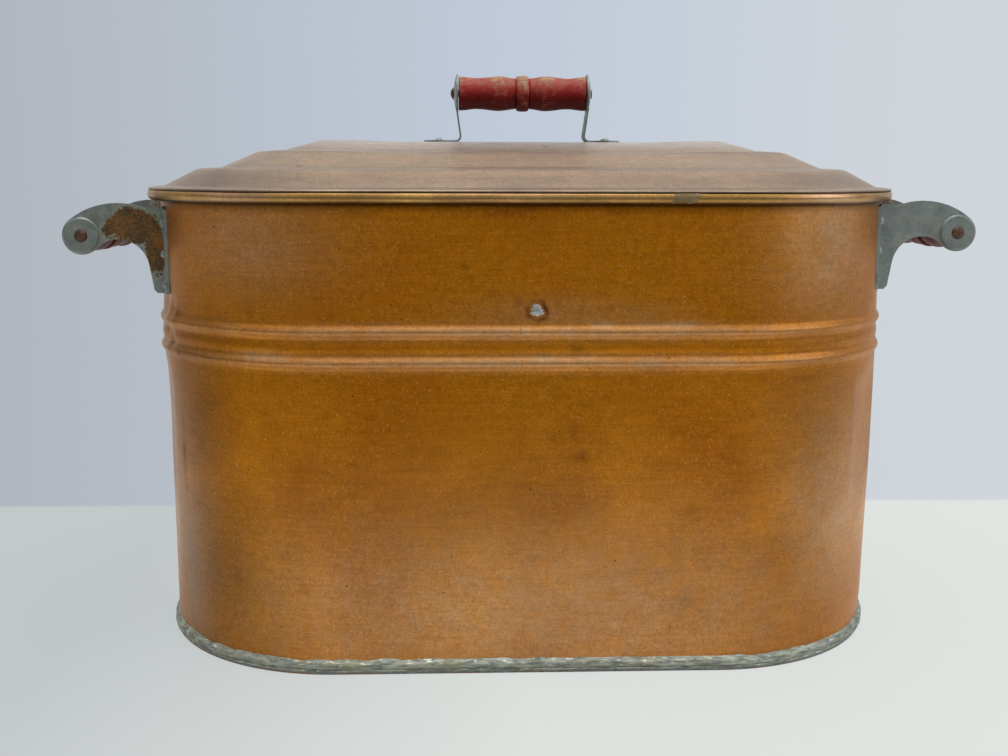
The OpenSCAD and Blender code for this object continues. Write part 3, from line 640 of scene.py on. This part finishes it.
# The rim band is one roll round the wire, closed against the wall
rimPlan = dict(
    inMm(wireR=3.8, band=0.8, low=341.6, step=4, lipIn=0.4, lipDrop=2.2, wave=0.25, waveSize=45, leftOut=1.2,
         leftFrom=(200, 285), underFrom=(1.8, 4.2), crest=2.2),
    rollEnd=-145.7, underDark=0.9, crestDark=0.4)
rimSpots = {
    # pale: painted highlights on the bead towards the ends and along the crest
    "pale": [(-205, 350, 26, 9, 0.5), (215, 350, 30, 9, 0.5), (-20, 352, 80, 6, 0.2)],
    "stain": [(-60, 348, 10, 3, 0.25), (40, 348, 6, 3, 0.25), (240, 349, 8, 3, 0.3), (-140, 348, 12, 3, 0.2)],
}
beadR = rimPlan["wireR"] + rimPlan["band"]
beadZ = oval["rimTop"] - beadR


def buildRimBand():
    plan, r = rimPlan, oval["bodyR"]
    inner = oval["sheet"] + plan["band"]
    points = ([(r - inner, plan["low"])] + arcPoints((r + beadR - inner, beadZ), beadR, 180, 90, 6)
              + arcPoints((r + plan["wireR"], beadZ), beadR, 90, plan["rollEnd"], 20)[1:]
              + [(r - plan["lipIn"], beadZ - plan["lipDrop"])])
    bm = bmesh.new()
    sweepOval(bm, points, plan["step"], loop=True)
    faceOut(bm, outward)
    for vert in bm.verts:
        co = vert.co.copy()
        wobble = noise.noise(Vector((co.x, co.y, 0)) / plan["waveSize"]) * plan["wave"]
        vert.co.z += wobble * (0.2 if co.z > oval["rimTop"] - 2 * mm else 1)
        vert.co += outward(co) * noise.noise(co / plan["waveSize"] + Vector((7, 0, 0))) * plan["wave"]
        vert.co += outward(co) * plan["leftOut"] * fadeIn(-co.x, *plan["leftFrom"])
    piece = addPiece(bm, "rimBand", rimCopper, "boiler", "rim_band", sharp=60)
    paintSpots(piece, rimSpots)
    # painted shade: the underside of the roll and the crest under the lid are darkened
    crest = oval["rimTop"] - plan["crest"]
    under, deepest = plan["underFrom"]
    rimShade = [max(plan["underDark"] * fadeIn(-v.co.z, under - beadZ, deepest - beadZ),
                plan["crestDark"] * fadeIn(v.co.z, crest, crest + 1 * mm)) for v in piece.data.vertices]
    paint(piece.data, "deep", rimShade)


# Solder wiped over the joint of the band: lumps that thin out to a ragged edge
jointPlan = dict(
    inMm(over=3, raggedSize=4, thick=0.34, lump=0.25, lumpSize=3, sink=0.3),
    start=96, end=250, steps=32, ragged=0.25)


def buildRimJoint():
    plan = jointPlan
    low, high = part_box("rim_joint_solder")
    centre = (-oval["bodyR"] - rimPlan["wireR"], beadZ)
    length, steps = high.x - low.x + 2 * plan["over"], plan["steps"]
    bm = bmesh.new()
    arc = arcPoints(centre, beadR, plan["start"], plan["end"], 16)
    ends = strand(bm, [(low.x - plan["over"], y, z) for y, z in arc])
    bmesh.ops.spin(bm, geom=ends, cent=(0, 0, 0), axis=(1, 0, 0), angle=0, dvec=(length / steps, 0, 0),
                   steps=steps)
    middle = (low.x + high.x) / 2
    middleTurn, halfTurn = (plan["start"] + plan["end"]) / 2, (plan["end"] - plan["start"]) / 2
    for vert in bm.verts:
        away = Vector((0, vert.co.y - centre[0], vert.co.z - centre[1])).normalized()
        turn = math.degrees(math.atan2(away.z, away.y)) % 360
        edge = max(abs(vert.co.x - middle) / (length / 2), abs(turn - middleTurn) / halfTurn)
        edge += noise.noise(vert.co / plan["raggedSize"]) * plan["ragged"]
        lump = plan["thick"] + plan["lump"] * noise.noise(vert.co / plan["lumpSize"])
        vert.co += away * (lump * (1 - fadeIn(edge, 0.5, 0.95)) - plan["sink"] * fadeIn(edge, 0.75, 1))
    faceOut(bm, lambda co: Vector((0, -1, 0)))
    addPiece(bm, "rimJointSolder", rimSolder, "boiler", "rim_joint_solder", sharp=60)


buildRimBand()
buildRimJoint()
print("rim made")

basePlan = inMm(
    foldOut=2.4, foldHigh=8.6, corner=1.3, step=4, floor=0.8, solderStep=2.0, solderHigh=10.6, edgeWave=1.1,
    edgeSize=16, lump=0.5, lumpSize=5)
# The solder's section, in mm out from the wall and up, with a groove between its two runs
solderShape = [(2.1, 2.4), (2.85, 2.5), (3.3, 3.0), (3.21, 3.5), (2.58, 4.0), (3.3, 4.6), (3.3, 7.0),
               (3.12, 7.9), (2.58, 8.8), (1.6, 9.1), (0.9, 9.9), (0.35, 10.6), (-0.3, 10.9), (-0.3, 7.6)]
foldLook = {
    "copper": "#A8672F", "dark": "#5E3A1E", "grey": "#8D9490", "dull": "#6A706D",
    "smear": (26, 26, 4), "fine": (3, 3, 1.2), "edge": (2.9 * mm, 3.5 * mm), "ragged": 5 * mm,
}


# Pressed sheet bottom whose rim is folded over the body: rubbed copper below, solder-wiped grey above
def solderedFold(name, look):
    material, tree, place = startMaterial(name)
    smear, fine = layPatterns(tree, place, (look["smear"], 4.0, 0.6), (look["fine"], 3.0, 0.6))
    height = addNode(tree, "SeparateXYZ", {0: place}, out="Z")
    level = addNode(tree, "Math", {0: smear, 1: look["ragged"], 2: height}, operation="MULTIPLY_ADD")
    grey = layColour(tree, look["grey"], look["dull"], fine, 0.35, 0.65)
    copper = layColour(tree, look["copper"], look["dark"], smear, 0.3, 0.7)
    colour = layColour(tree, copper, grey, level, *look["edge"])
    rough = addNode(tree, "MapRange", {0: fine, 1: 0.3, 2: 0.7, 3: 0.38, 4: 0.58})
    endSkin(tree, fine, 0.6, 0.3, {"Base Color": colour, "Metallic": 0.75, "Roughness": rough})
    return material


def buildBottomPan():
    plan, r = basePlan, oval["bodyR"]
    out, c, high, top = r + plan["foldOut"], plan["corner"], plan["foldHigh"], plan["floor"]
    rings = [(out * i / 5, 0) for i in range(5)]
    points = (rings + arcPoints((out - c, c), c, -90, 0, 4) + arcPoints((out - c, high - c), c, 0, 90, 4)
              + [(r + 0.1 * mm, high), (r - oval["sheet"] - 0.4 * mm, top)]
              + [(across, top) for across, z in reversed(rings)])
    bm = bmesh.new()
    sweepOval(bm, points, plan["step"])
    faceOut(bm, outward)
    fold = solderedFold("Soldered copper fold", foldLook)
    piece = addPiece(bm, "bottomPan", fold, "boiler", "bottom_pan")
    piece.data.materials.append(insideCopper)
    for polygon in piece.data.polygons:
        if polygon.normal.z > 0.5 and polygon.center.z < 2 * mm:
            polygon.material_index = 1


def buildSeamSolder():
    plan, r, high = basePlan, oval["bodyR"], basePlan["solderHigh"]
    bm = bmesh.new()
    sweepOval(bm, [(r + x * mm, z * mm) for x, z in solderShape], plan["solderStep"], loop=True)
    faceOut(bm, outward)
    for vert in bm.verts:
        co = vert.co.copy()
        flat = Vector((co.x, co.y, 0))
        upper = fadeIn(co.z, high - 3.4 * mm, high - 0.5 * mm)
        edge = noise.noise(flat / plan["edgeSize"]) + 0.5 * noise.noise(flat / (plan["edgeSize"] / 3))
        vert.co.z += upper * plan["edgeWave"] * (0.1 + edge * 1.3)
        vert.co += outward(co) * plan["lump"] * noise.noise(co / plan["lumpSize"]) * (1 - 0.5 * upper)
    addPiece(bm, "bottomSeamSolder", seamSolder, "boiler", "bottom_seam_solder", sharp=80)


def buildMend():
    plan, centre = mendPlan, middleOf("hole_mend")
    radius, proud = plan["radius"], plan["proud"]
    wall = Vector((centre.x, -oval["bodyR"], centre.z))
    turns = [math.radians(t) for t in range(0, 91, 10)]
    bm = bmesh.new()
    arc = [(radius * math.sin(t), plan["sunk"] - proud * math.cos(t), 0) for t in turns]
    dome = strand(bm, [wall + Vector(point) for point in arc])
    bmesh.ops.spin(bm, geom=dome, cent=wall, axis=(0, 1, 0), angle=2 * math.pi, steps=plan["steps"],
                   use_merge=True)
    faceOut(bm, lambda co: Vector((0, -1, 0)))
    for vert in bm.verts:
        away = vert.co - wall
        inside = 1 - math.hypot(away.x, away.z) / radius
        jag = noise.noise(away.normalized() * plan["jagSize"]) * plan["ragged"]
        vert.co += Vector((away.x, 0, away.z)) * jag
        vert.co.y += (noise.noise(vert.co / plan["lumpSize"]) * plan["lump"] + plan["crown"]) * inside
    addPiece(bm, "holeMend", solder, "boiler", "hole_mend", sharp=80)


buildBottomPan()
buildSeamSolder()
buildMend()
print("bottom seam and mend made")

lidPlan = dict(
    inMm(edgeIn=0.7, beadOut=8.4, brimZ=353.9, edgeDrop=1.4, sheet=0.7, step=4.5, brim=11.7, droop=1.2,
         widths=(29, 33, 33.3), rises=(13.5, 11.8, 8), ledges=(14.2, 16.3, 0), ledgeRise=0.6,
         endRise=1.3, feetEnd=(92, 150), riseReach=(30, 110),
         wave=0.4, waveSize=70, waveFrom=(16, 40), waveTo=(128, 140),
         leftOut=0.8, leftFrom=(200, 285), leftReach=(120, 145)),
    straightShare=0.75, topZ=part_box("lid_cover")[1].z)
lidSpots = {
    "pale": [(-150, 382, 60, 4, 0.25), (170, 370, 60, 6, 0.3)],
    # deep: painted shade, the turned edge dark as the gap under it, darker bands on the lower slope and at
    # the ledges
    "deep": [(0, 359, 900, 8, 0.34), (0, 351.0, 900, 1.2, 0.9), (0, 367.6, 900, 1.0, 0.25),
             (0, 380, 900, 1.0, 0.25)],
    # grey: dust and painted sheen on the top
    "grey": [(0, 388.4, 900, 5, 0.6)],
    "stain": [(-214, 368, 5, 1, 0.4), (-180, 369, 4, 1, 0.4), (-168, 360, 4, 1, 0.35),
              (120, 366, 6, 1.2, 0.3)],
}
lidR = oval["bodyR"] + lidPlan["beadOut"] - lidPlan["edgeIn"]


# Height of a slope: straight, then rounding over onto the ledge above it
def riseAt(t):
    m = lidPlan["straightShare"]
    k = 2 / (1 + m)
    return k * t if t < m else k * m + k * ((t - m) - (t - m) ** 2 / (2 * (1 - m)))


def lidSection():
    plan, sheet, brimZ = lidPlan, lidPlan["sheet"], lidPlan["brimZ"]
    points = [(lidR, brimZ - plan["edgeDrop"]), (lidR, brimZ - sheet), (lidR - 0.2 * mm, brimZ - 0.2 * mm),
              (lidR - sheet, brimZ)]
    start, base = lidR - plan["brim"], brimZ
    for width, height, ledge in zip(plan["widths"], plan["rises"], plan["ledges"]):
        last, lastZ = points[-1]
        points += [(last + (start - last) * i / 4, lastZ + (base - lastZ) * i / 4) for i in (1, 2, 3, 4)]
        points += [(start - width * i / 14, base + height * riseAt(i / 14)) for i in range(1, 15)]
        start, base = start - width - ledge, base + height + plan["ledgeRise"]
    last = points[-1][0]
    return points + [(last * (1 - i / 3), plan["topZ"]) for i in range(1, 4)]


def buildLidCover():
    plan = lidPlan
    bm = bmesh.new()
    sweepOval(bm, lidSection(), plan["step"])
    faceOut(bm, lambda co: Vector((0, 0, 1)))
    for vert in bm.verts:
        co = vert.co.copy()
        flat = Vector((co.x, co.y, 0))
        reach = (flat - Vector((coreX(co.x), 0, 0))).length
        # flat where the handle's feet stand, a little higher towards the ends
        feet = fadeIn(abs(co.x), *plan["feetEnd"])
        vert.co.z += plan["endRise"] * feet * (1 - fadeIn(reach, *plan["riseReach"]))
        loose = fadeIn(reach, *plan["waveFrom"]) * (1 - fadeIn(reach, *plan["waveTo"]))
        vert.co.z += noise.noise(flat / plan["waveSize"] + Vector((3, 1, 0))) * plan["wave"] * loose
        vert.co.z -= plan["droop"] * max(0, (reach - (lidR - plan["brim"])) / plan["brim"]) ** 2
        left = fadeIn(-co.x, *plan["leftFrom"]) * fadeIn(reach, *plan["leftReach"])
        vert.co += outward(co) * plan["leftOut"] * left
    piece = addPiece(bm, "lidCover", lidCopper, "lid", "lid_cover", sharp=50)
    paintSpots(piece, lidSpots)
    thicken(piece, plan["sheet"], insideCopper)


buildLidCover()
print("lid made")

gripPlan = dict(
    inMm(length=101.4, endR=13.2, waistR=12.1, swellR=13.5, beadR=14, beadWidth=9.6, grooveDeep=1.1,
         grooveWidth=1.2, swellX=17.8, waistX=14.7, boreR=2.58, endRound=0.6, chip=0.28, chipLength=9,
         chipWidth=5),
    steps=64)


def ease(a, b, t):
    return a + (b - a) * (1 - math.cos(math.pi * t)) / 2


# Turned outline from the middle to one end, as (distance along, radius)
def turnedOutline():
    plan = gripPlan
    half, edge = plan["length"] / 2, plan["beadWidth"] / 2
    deep, endRound = plan["grooveDeep"], plan["endRound"]
    groove = edge + plan["grooveWidth"] / 2
    turns = [math.radians(a) for a in range(0, 91, 15)]
    points = [(edge * math.sin(t), plan["beadR"] - deep * (1 - math.cos(t))) for t in turns]
    points.append((groove, plan["waistR"] - deep / 2))
    stops = [(groove + plan["grooveWidth"] / 2, plan["waistR"]), (plan["swellX"], plan["swellR"]),
             (half - plan["waistX"], plan["waistR"]), (half - endRound, plan["endR"])]
    points.append(stops[0])
    for (x0, r0), (x1, r1) in zip(stops, stops[1:]):
        points += [(x0 + (x1 - x0) * i / 12, ease(r0, r1, i / 12)) for i in range(1, 13)]
    return points + [(half, plan["endR"] - endRound), (half, plan["boreR"]), (0, plan["boreR"])]


def buildGrip(name, node, body, along, seed):
    plan, centre = gripPlan, middleOf(node)
    bm = bmesh.new()
    outline = strand(bm, [(x, r, 0) for x, r in turnedOutline()])
    bmesh.ops.spin(bm, geom=outline, cent=(0, 0, 0), axis=(1, 0, 0), angle=2 * math.pi, steps=plan["steps"],
                   use_merge=True)
    bmesh.ops.mirror(bm, geom=bm.verts[:] + bm.edges[:] + bm.faces[:], matrix=Matrix.Identity(4),
                     merge_dist=0.01 * mm, axis="X")
    bmesh.ops.remove_doubles(bm, verts=bm.verts, dist=0.01 * mm)
    bmesh.ops.recalc_face_normals(bm, faces=bm.faces)
    long, wide = plan["chipLength"], plan["chipWidth"]
    for vert in bm.verts:
        x, y, z = vert.co
        away = Vector((0, y, z))
        if away.length > plan["waistR"] - 2 * mm:
            chip = noise.noise(Vector((x / long + seed, y / wide, z / wide)))
            vert.co += away.normalized() * plan["chip"] * (min(0, chip) - max(0, chip - 0.3) * 1.5)
    turn = Matrix.Identity(4) if along[0] else Matrix.Rotation(math.radians(90), 4, "Z")
    bmesh.ops.transform(bm, matrix=Matrix.Translation(centre) @ turn, verts=bm.verts)
    material = wornRedPaint("Worn red paint " + name, centre, along)
    addPiece(bm, name, material, body, node, sharp=40)


buildGrip("lidGrip", "lid_grip", "lid_handle_grip", (1, 0, 0), 0.0)
buildGrip("leftGrip", "left_grip", "left_handle_grip", (0, 1, 0), 5.3)
buildGrip("rightGrip", "right_grip", "right_handle_grip", (0, 1, 0), 9.1)
print("grips made")

rods = {side: middleOf(side + "_handle_rod") for side in ("left", "right")}
# Rust on the side brackets: centre, and reach in mm along x, y and z
rustPatches = {
    "left_front": [
        {"centre": rods["left"] + Vector((38, -52, 8)) * mm, "reach": (24, 30, 14)},
        {"centre": rods["left"] + Vector((57, -52, -10)) * mm, "reach": (10, 30, 21)},
    ],
    "left_rear": [{"centre": rods["left"] + Vector((30, 52, 4)) * mm, "reach": (12, 20, 20)}],
    "right_front": [],
    "right_rear": [{"centre": rods["right"] + Vector((-22, 52, 12)) * mm, "reach": (16, 20, 12)}],
}
bracketPlan = dict(inMm(sideRound=0.45, lidRound=0.25), steps=2, sharpAt=40)


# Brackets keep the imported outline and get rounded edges, as stamped sheet has
def roundedCopy(name, node, body, material, radius):
    bm = bmesh.new()
    bm.from_mesh(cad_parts[node].data)
    bmesh.ops.remove_doubles(bm, verts=bm.verts, dist=0.005 * mm)
    bmesh.ops.dissolve_limit(bm, angle_limit=math.radians(1), verts=bm.verts, edges=bm.edges)
    piece = addPiece(bm, name, material, body, node, sharp=30)
    rounding = piece.modifiers.new("Stamped edge", "BEVEL")
    rounding.width = radius
    rounding.segments = bracketPlan["steps"]
    rounding.profile = 0.5
    rounding.limit_method = "ANGLE"
    rounding.angle_limit = math.radians(bracketPlan["sharpAt"])
    rounding.use_clamp_overlap = True


for corner, rustAt in rustPatches.items():
    side, end = corner.split("_")
    material = weatheredZinc("Weathered zinc " + side + " " + end, rustAt)
    roundedCopy(side + end.capitalize() + "Bracket", corner + "_bracket", "boiler", material,
                bracketPlan["sideRound"])
for side in ("left", "right"):
    roundedCopy("lid" + side.capitalize() + "Bracket", "lid_" + side + "_bracket", "lid", zinc,
                bracketPlan["lidRound"])
print("brackets made")

# The other nodes keep their shape and get their finish
finishes = {
    steel: ["rim_wire", "left_handle_rod", "right_handle_rod", "lid_handle_rod"],
    zinc: ["left_front_rivets", "left_rear_rivets", "right_front_rivets", "right_rear_rivets",
           "lid_left_rivets", "lid_right_rivets"],
    solder: ["end_seam_solder", "lid_ring_solder"],
    insideCopper: ["lid_ring"],
}
for material, nodes in finishes.items():
    for name in nodes:
        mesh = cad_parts[name].data
        mesh.materials.clear()
        mesh.materials.append(material)

stagePlan = {
    "floorSize": 12.0, "floorBounce": "#E0E2E0", "tableLeft": "#BCC2C5", "tableRight": "#DDE2DF",
    "ownLight": 0.85,
    "wallLeft": "#B1B7BE", "wallMiddle": "#C0CAD9", "wallRight": "#CFD5DA", "room": "#F2F1EE",
    "tableBack": 0.295, "backFade": 0.012, "tableFront": -0.62, "tableFade": 0.2, "frontDark": 0.22,
    "cardColour": "#E6E8E8", "cardY": 0.27, "cardLeft": -0.68, "cardRight": 1.1, "cardHigh": 1.5,
    "cardLight": 0.85,
}


def buildFloor():
    plan = stagePlan
    bm = bmesh.new()
    bmesh.ops.create_grid(bm, x_segments=1, y_segments=1, size=plan["floorSize"] / 2)
    material, tree, place = startMaterial("Pale table top")
    x = addNode(tree, "SeparateXYZ", {0: place}, out="X")
    y = addNode(tree, "SeparateXYZ", {0: place}, out="Y")
    near = addNode(tree, "MapRange", {0: y, 1: plan["tableFront"] - plan["tableFade"], 2: plan["tableFront"]})
    seen = addNode(tree, "LightPath", out="Is Camera Ray")
    shown = addNode(tree, "Math", {0: near, 1: seen}, operation="MAXIMUM")
    pale = hexColour(plan["floorBounce"])
    dark = [c * plan["frontDark"] for c in pale[:3]] + [1]
    bounce = addNode(tree, "Mix", {0: shown, 6: dark, 7: pale}, **inColour)
    table = addNode(tree, "BsdfPrincipled", {"Base Color": bounce, "Roughness": 0.6})
    # what the camera sees is partly a glow in the table's colour, painted darker on the left and lighter on
    # the right as the light falls, so that shadows on it stay light
    own = layColour(tree, plan["tableLeft"], plan["tableRight"], x, -0.36, 0.0)
    ownLight = addNode(tree, "Emission", {"Color": own, "Strength": 1.0})
    lit = addNode(tree, "Math", {0: seen, 1: plan["ownLight"]}, operation="MULTIPLY")
    table = addNode(tree, "MixShader", {0: lit, 1: table, 2: ownLight})
    # behind its back edge the table gives way to the backdrop
    far = addNode(tree, "MapRange", {0: y, 1: plan["tableBack"], 2: plan["tableBack"] + plan["backFade"]})
    far = addNode(tree, "Math", {0: far, 1: seen}, operation="MULTIPLY")
    clear = addNode(tree, "BsdfTransparent")
    addNode(tree, "OutputMaterial", {"Surface": addNode(tree, "MixShader", {0: far, 1: table, 2: clear})})
    makeObject(bm, "floor", material)


# A pale card behind the boiler that only its reflections see
def buildCard():
    plan = stagePlan
    width, height = plan["cardRight"] - plan["cardLeft"], plan["cardHigh"]
    bm = bmesh.new()
    bmesh.ops.create_grid(bm, x_segments=1, y_segments=1, size=0.5)
    bmesh.ops.scale(bm, vec=(width, height, 1), verts=bm.verts)
    bmesh.ops.rotate(bm, cent=(0, 0, 0), matrix=Matrix.Rotation(math.radians(90), 3, "X"), verts=bm.verts)
    bmesh.ops.translate(bm, vec=(plan["cardLeft"] + width / 2, plan["cardY"], height / 2), verts=bm.verts)
    material, tree, place = startMaterial("Pale card")
    glow = addNode(tree, "Emission", {"Color": plan["cardColour"], "Strength": plan["cardLight"]})
    addNode(tree, "OutputMaterial", {"Surface": glow})
    card = makeObject(bm, "card", material)
    card.visible_camera = False
    card.visible_shadow = False
    card.visible_diffuse = False


def buildWorld():
    plan = stagePlan
    world = bpy.data.worlds.new("Studio")
    bpy.context.scene.world = world
    world.use_nodes = True
    tree = world.node_tree
    tree.nodes.clear()
    direction = addNode(tree, "TexCoord", out="Generated")
    x = addNode(tree, "SeparateXYZ", {0: direction}, out="X")
    z = addNode(tree, "SeparateXYZ", {0: direction}, out="Z")
    up = addNode(tree, "MapRange", {0: z, 1: -0.05, 2: 0.75, 3: 0.3, 4: 0.95})
    side = addNode(tree, "MapRange", {0: x, 1: -1.0, 2: 1.0, 3: 0.9, 4: 1.15})
    room = addNode(tree, "Math", {0: up, 1: side}, operation="MULTIPLY")
    room = addNode(tree, "Mix", {0: 1.0, 6: plan["room"], 7: room}, **inColour, blend_type="MULTIPLY")
    # the backdrop is painted darker on the left and lighter on the right, as the light falls
    wall = layColour(tree, plan["wallLeft"], plan["wallMiddle"], x, -0.36, 0.04)
    wall = layColour(tree, wall, plan["wallRight"], x, 0.04, 0.36)
    seen = addNode(tree, "LightPath", out="Is Camera Ray")
    colour = addNode(tree, "Mix", {0: seen, 6: room, 7: wall}, **inColour)
    addNode(tree, "OutputWorld", {"Surface": addNode(tree, "Background", {"Color": colour, "Strength": 1.0})})


# Lamps: size in metres, power in watts, place, what they aim at and colour
lamps = {
    "ceiling": ((1.6, 1.2), 16, (0.1, -0.1, 1.7), (0, 0, 0.2), "#FFFFFF"),
    "rightWindow": ((0.9, 0.9), 5, (1.5, -0.7, 0.9), (0.1, 0, 0.2), "#F4F8FF"),
}


def addLamp(name, size, power, place, aim, colour):
    lamp = bpy.data.lights.new(name, "AREA")
    lamp.shape = "RECTANGLE"
    lamp.size, lamp.size_y = size
    lamp.energy = power
    lamp.color = hexColour(colour)[:3]
    holder = bpy.data.objects.new(name, lamp)
    holder.location = place
    holder.rotation_mode = "QUATERNION"
    holder.rotation_quaternion = (Vector(aim) - Vector(place)).to_track_quat("-Z", "Y")
    bpy.context.scene.collection.objects.link(holder)


cameraPlan = {
    "place": (-0.0476, -0.9564, 0.3666), "down": 0.1766, "aside": 0.0352, "roll": 0.0027,
    "focal": 1166.3, "imageWidth": 1008, "sensor": 36.0,
}


def buildCamera():
    plan = cameraPlan
    data = bpy.data.cameras.new("camera")
    data.sensor_width = plan["sensor"]
    data.lens = plan["focal"] / plan["imageWidth"] * plan["sensor"]
    data.clip_start, data.clip_end = 0.01, 100
    camera = bpy.data.objects.new("camera", data)
    turned = Matrix.Rotation(-plan["aside"], 4, "Z") @ Matrix.Rotation(math.pi / 2 - plan["down"], 4, "X")
    camera.matrix_world = Matrix.Translation(plan["place"]) @ turned @ Matrix.Rotation(plan["roll"], 4, "Z")
    bpy.context.scene.collection.objects.link(camera)
    bpy.context.scene.camera = camera


buildFloor()
buildCard()
buildWorld()
for name, settings in lamps.items():
    addLamp(name, *settings)
buildCamera()
bpy.context.scene.view_settings.view_transform = "Standard"
print("stage made")
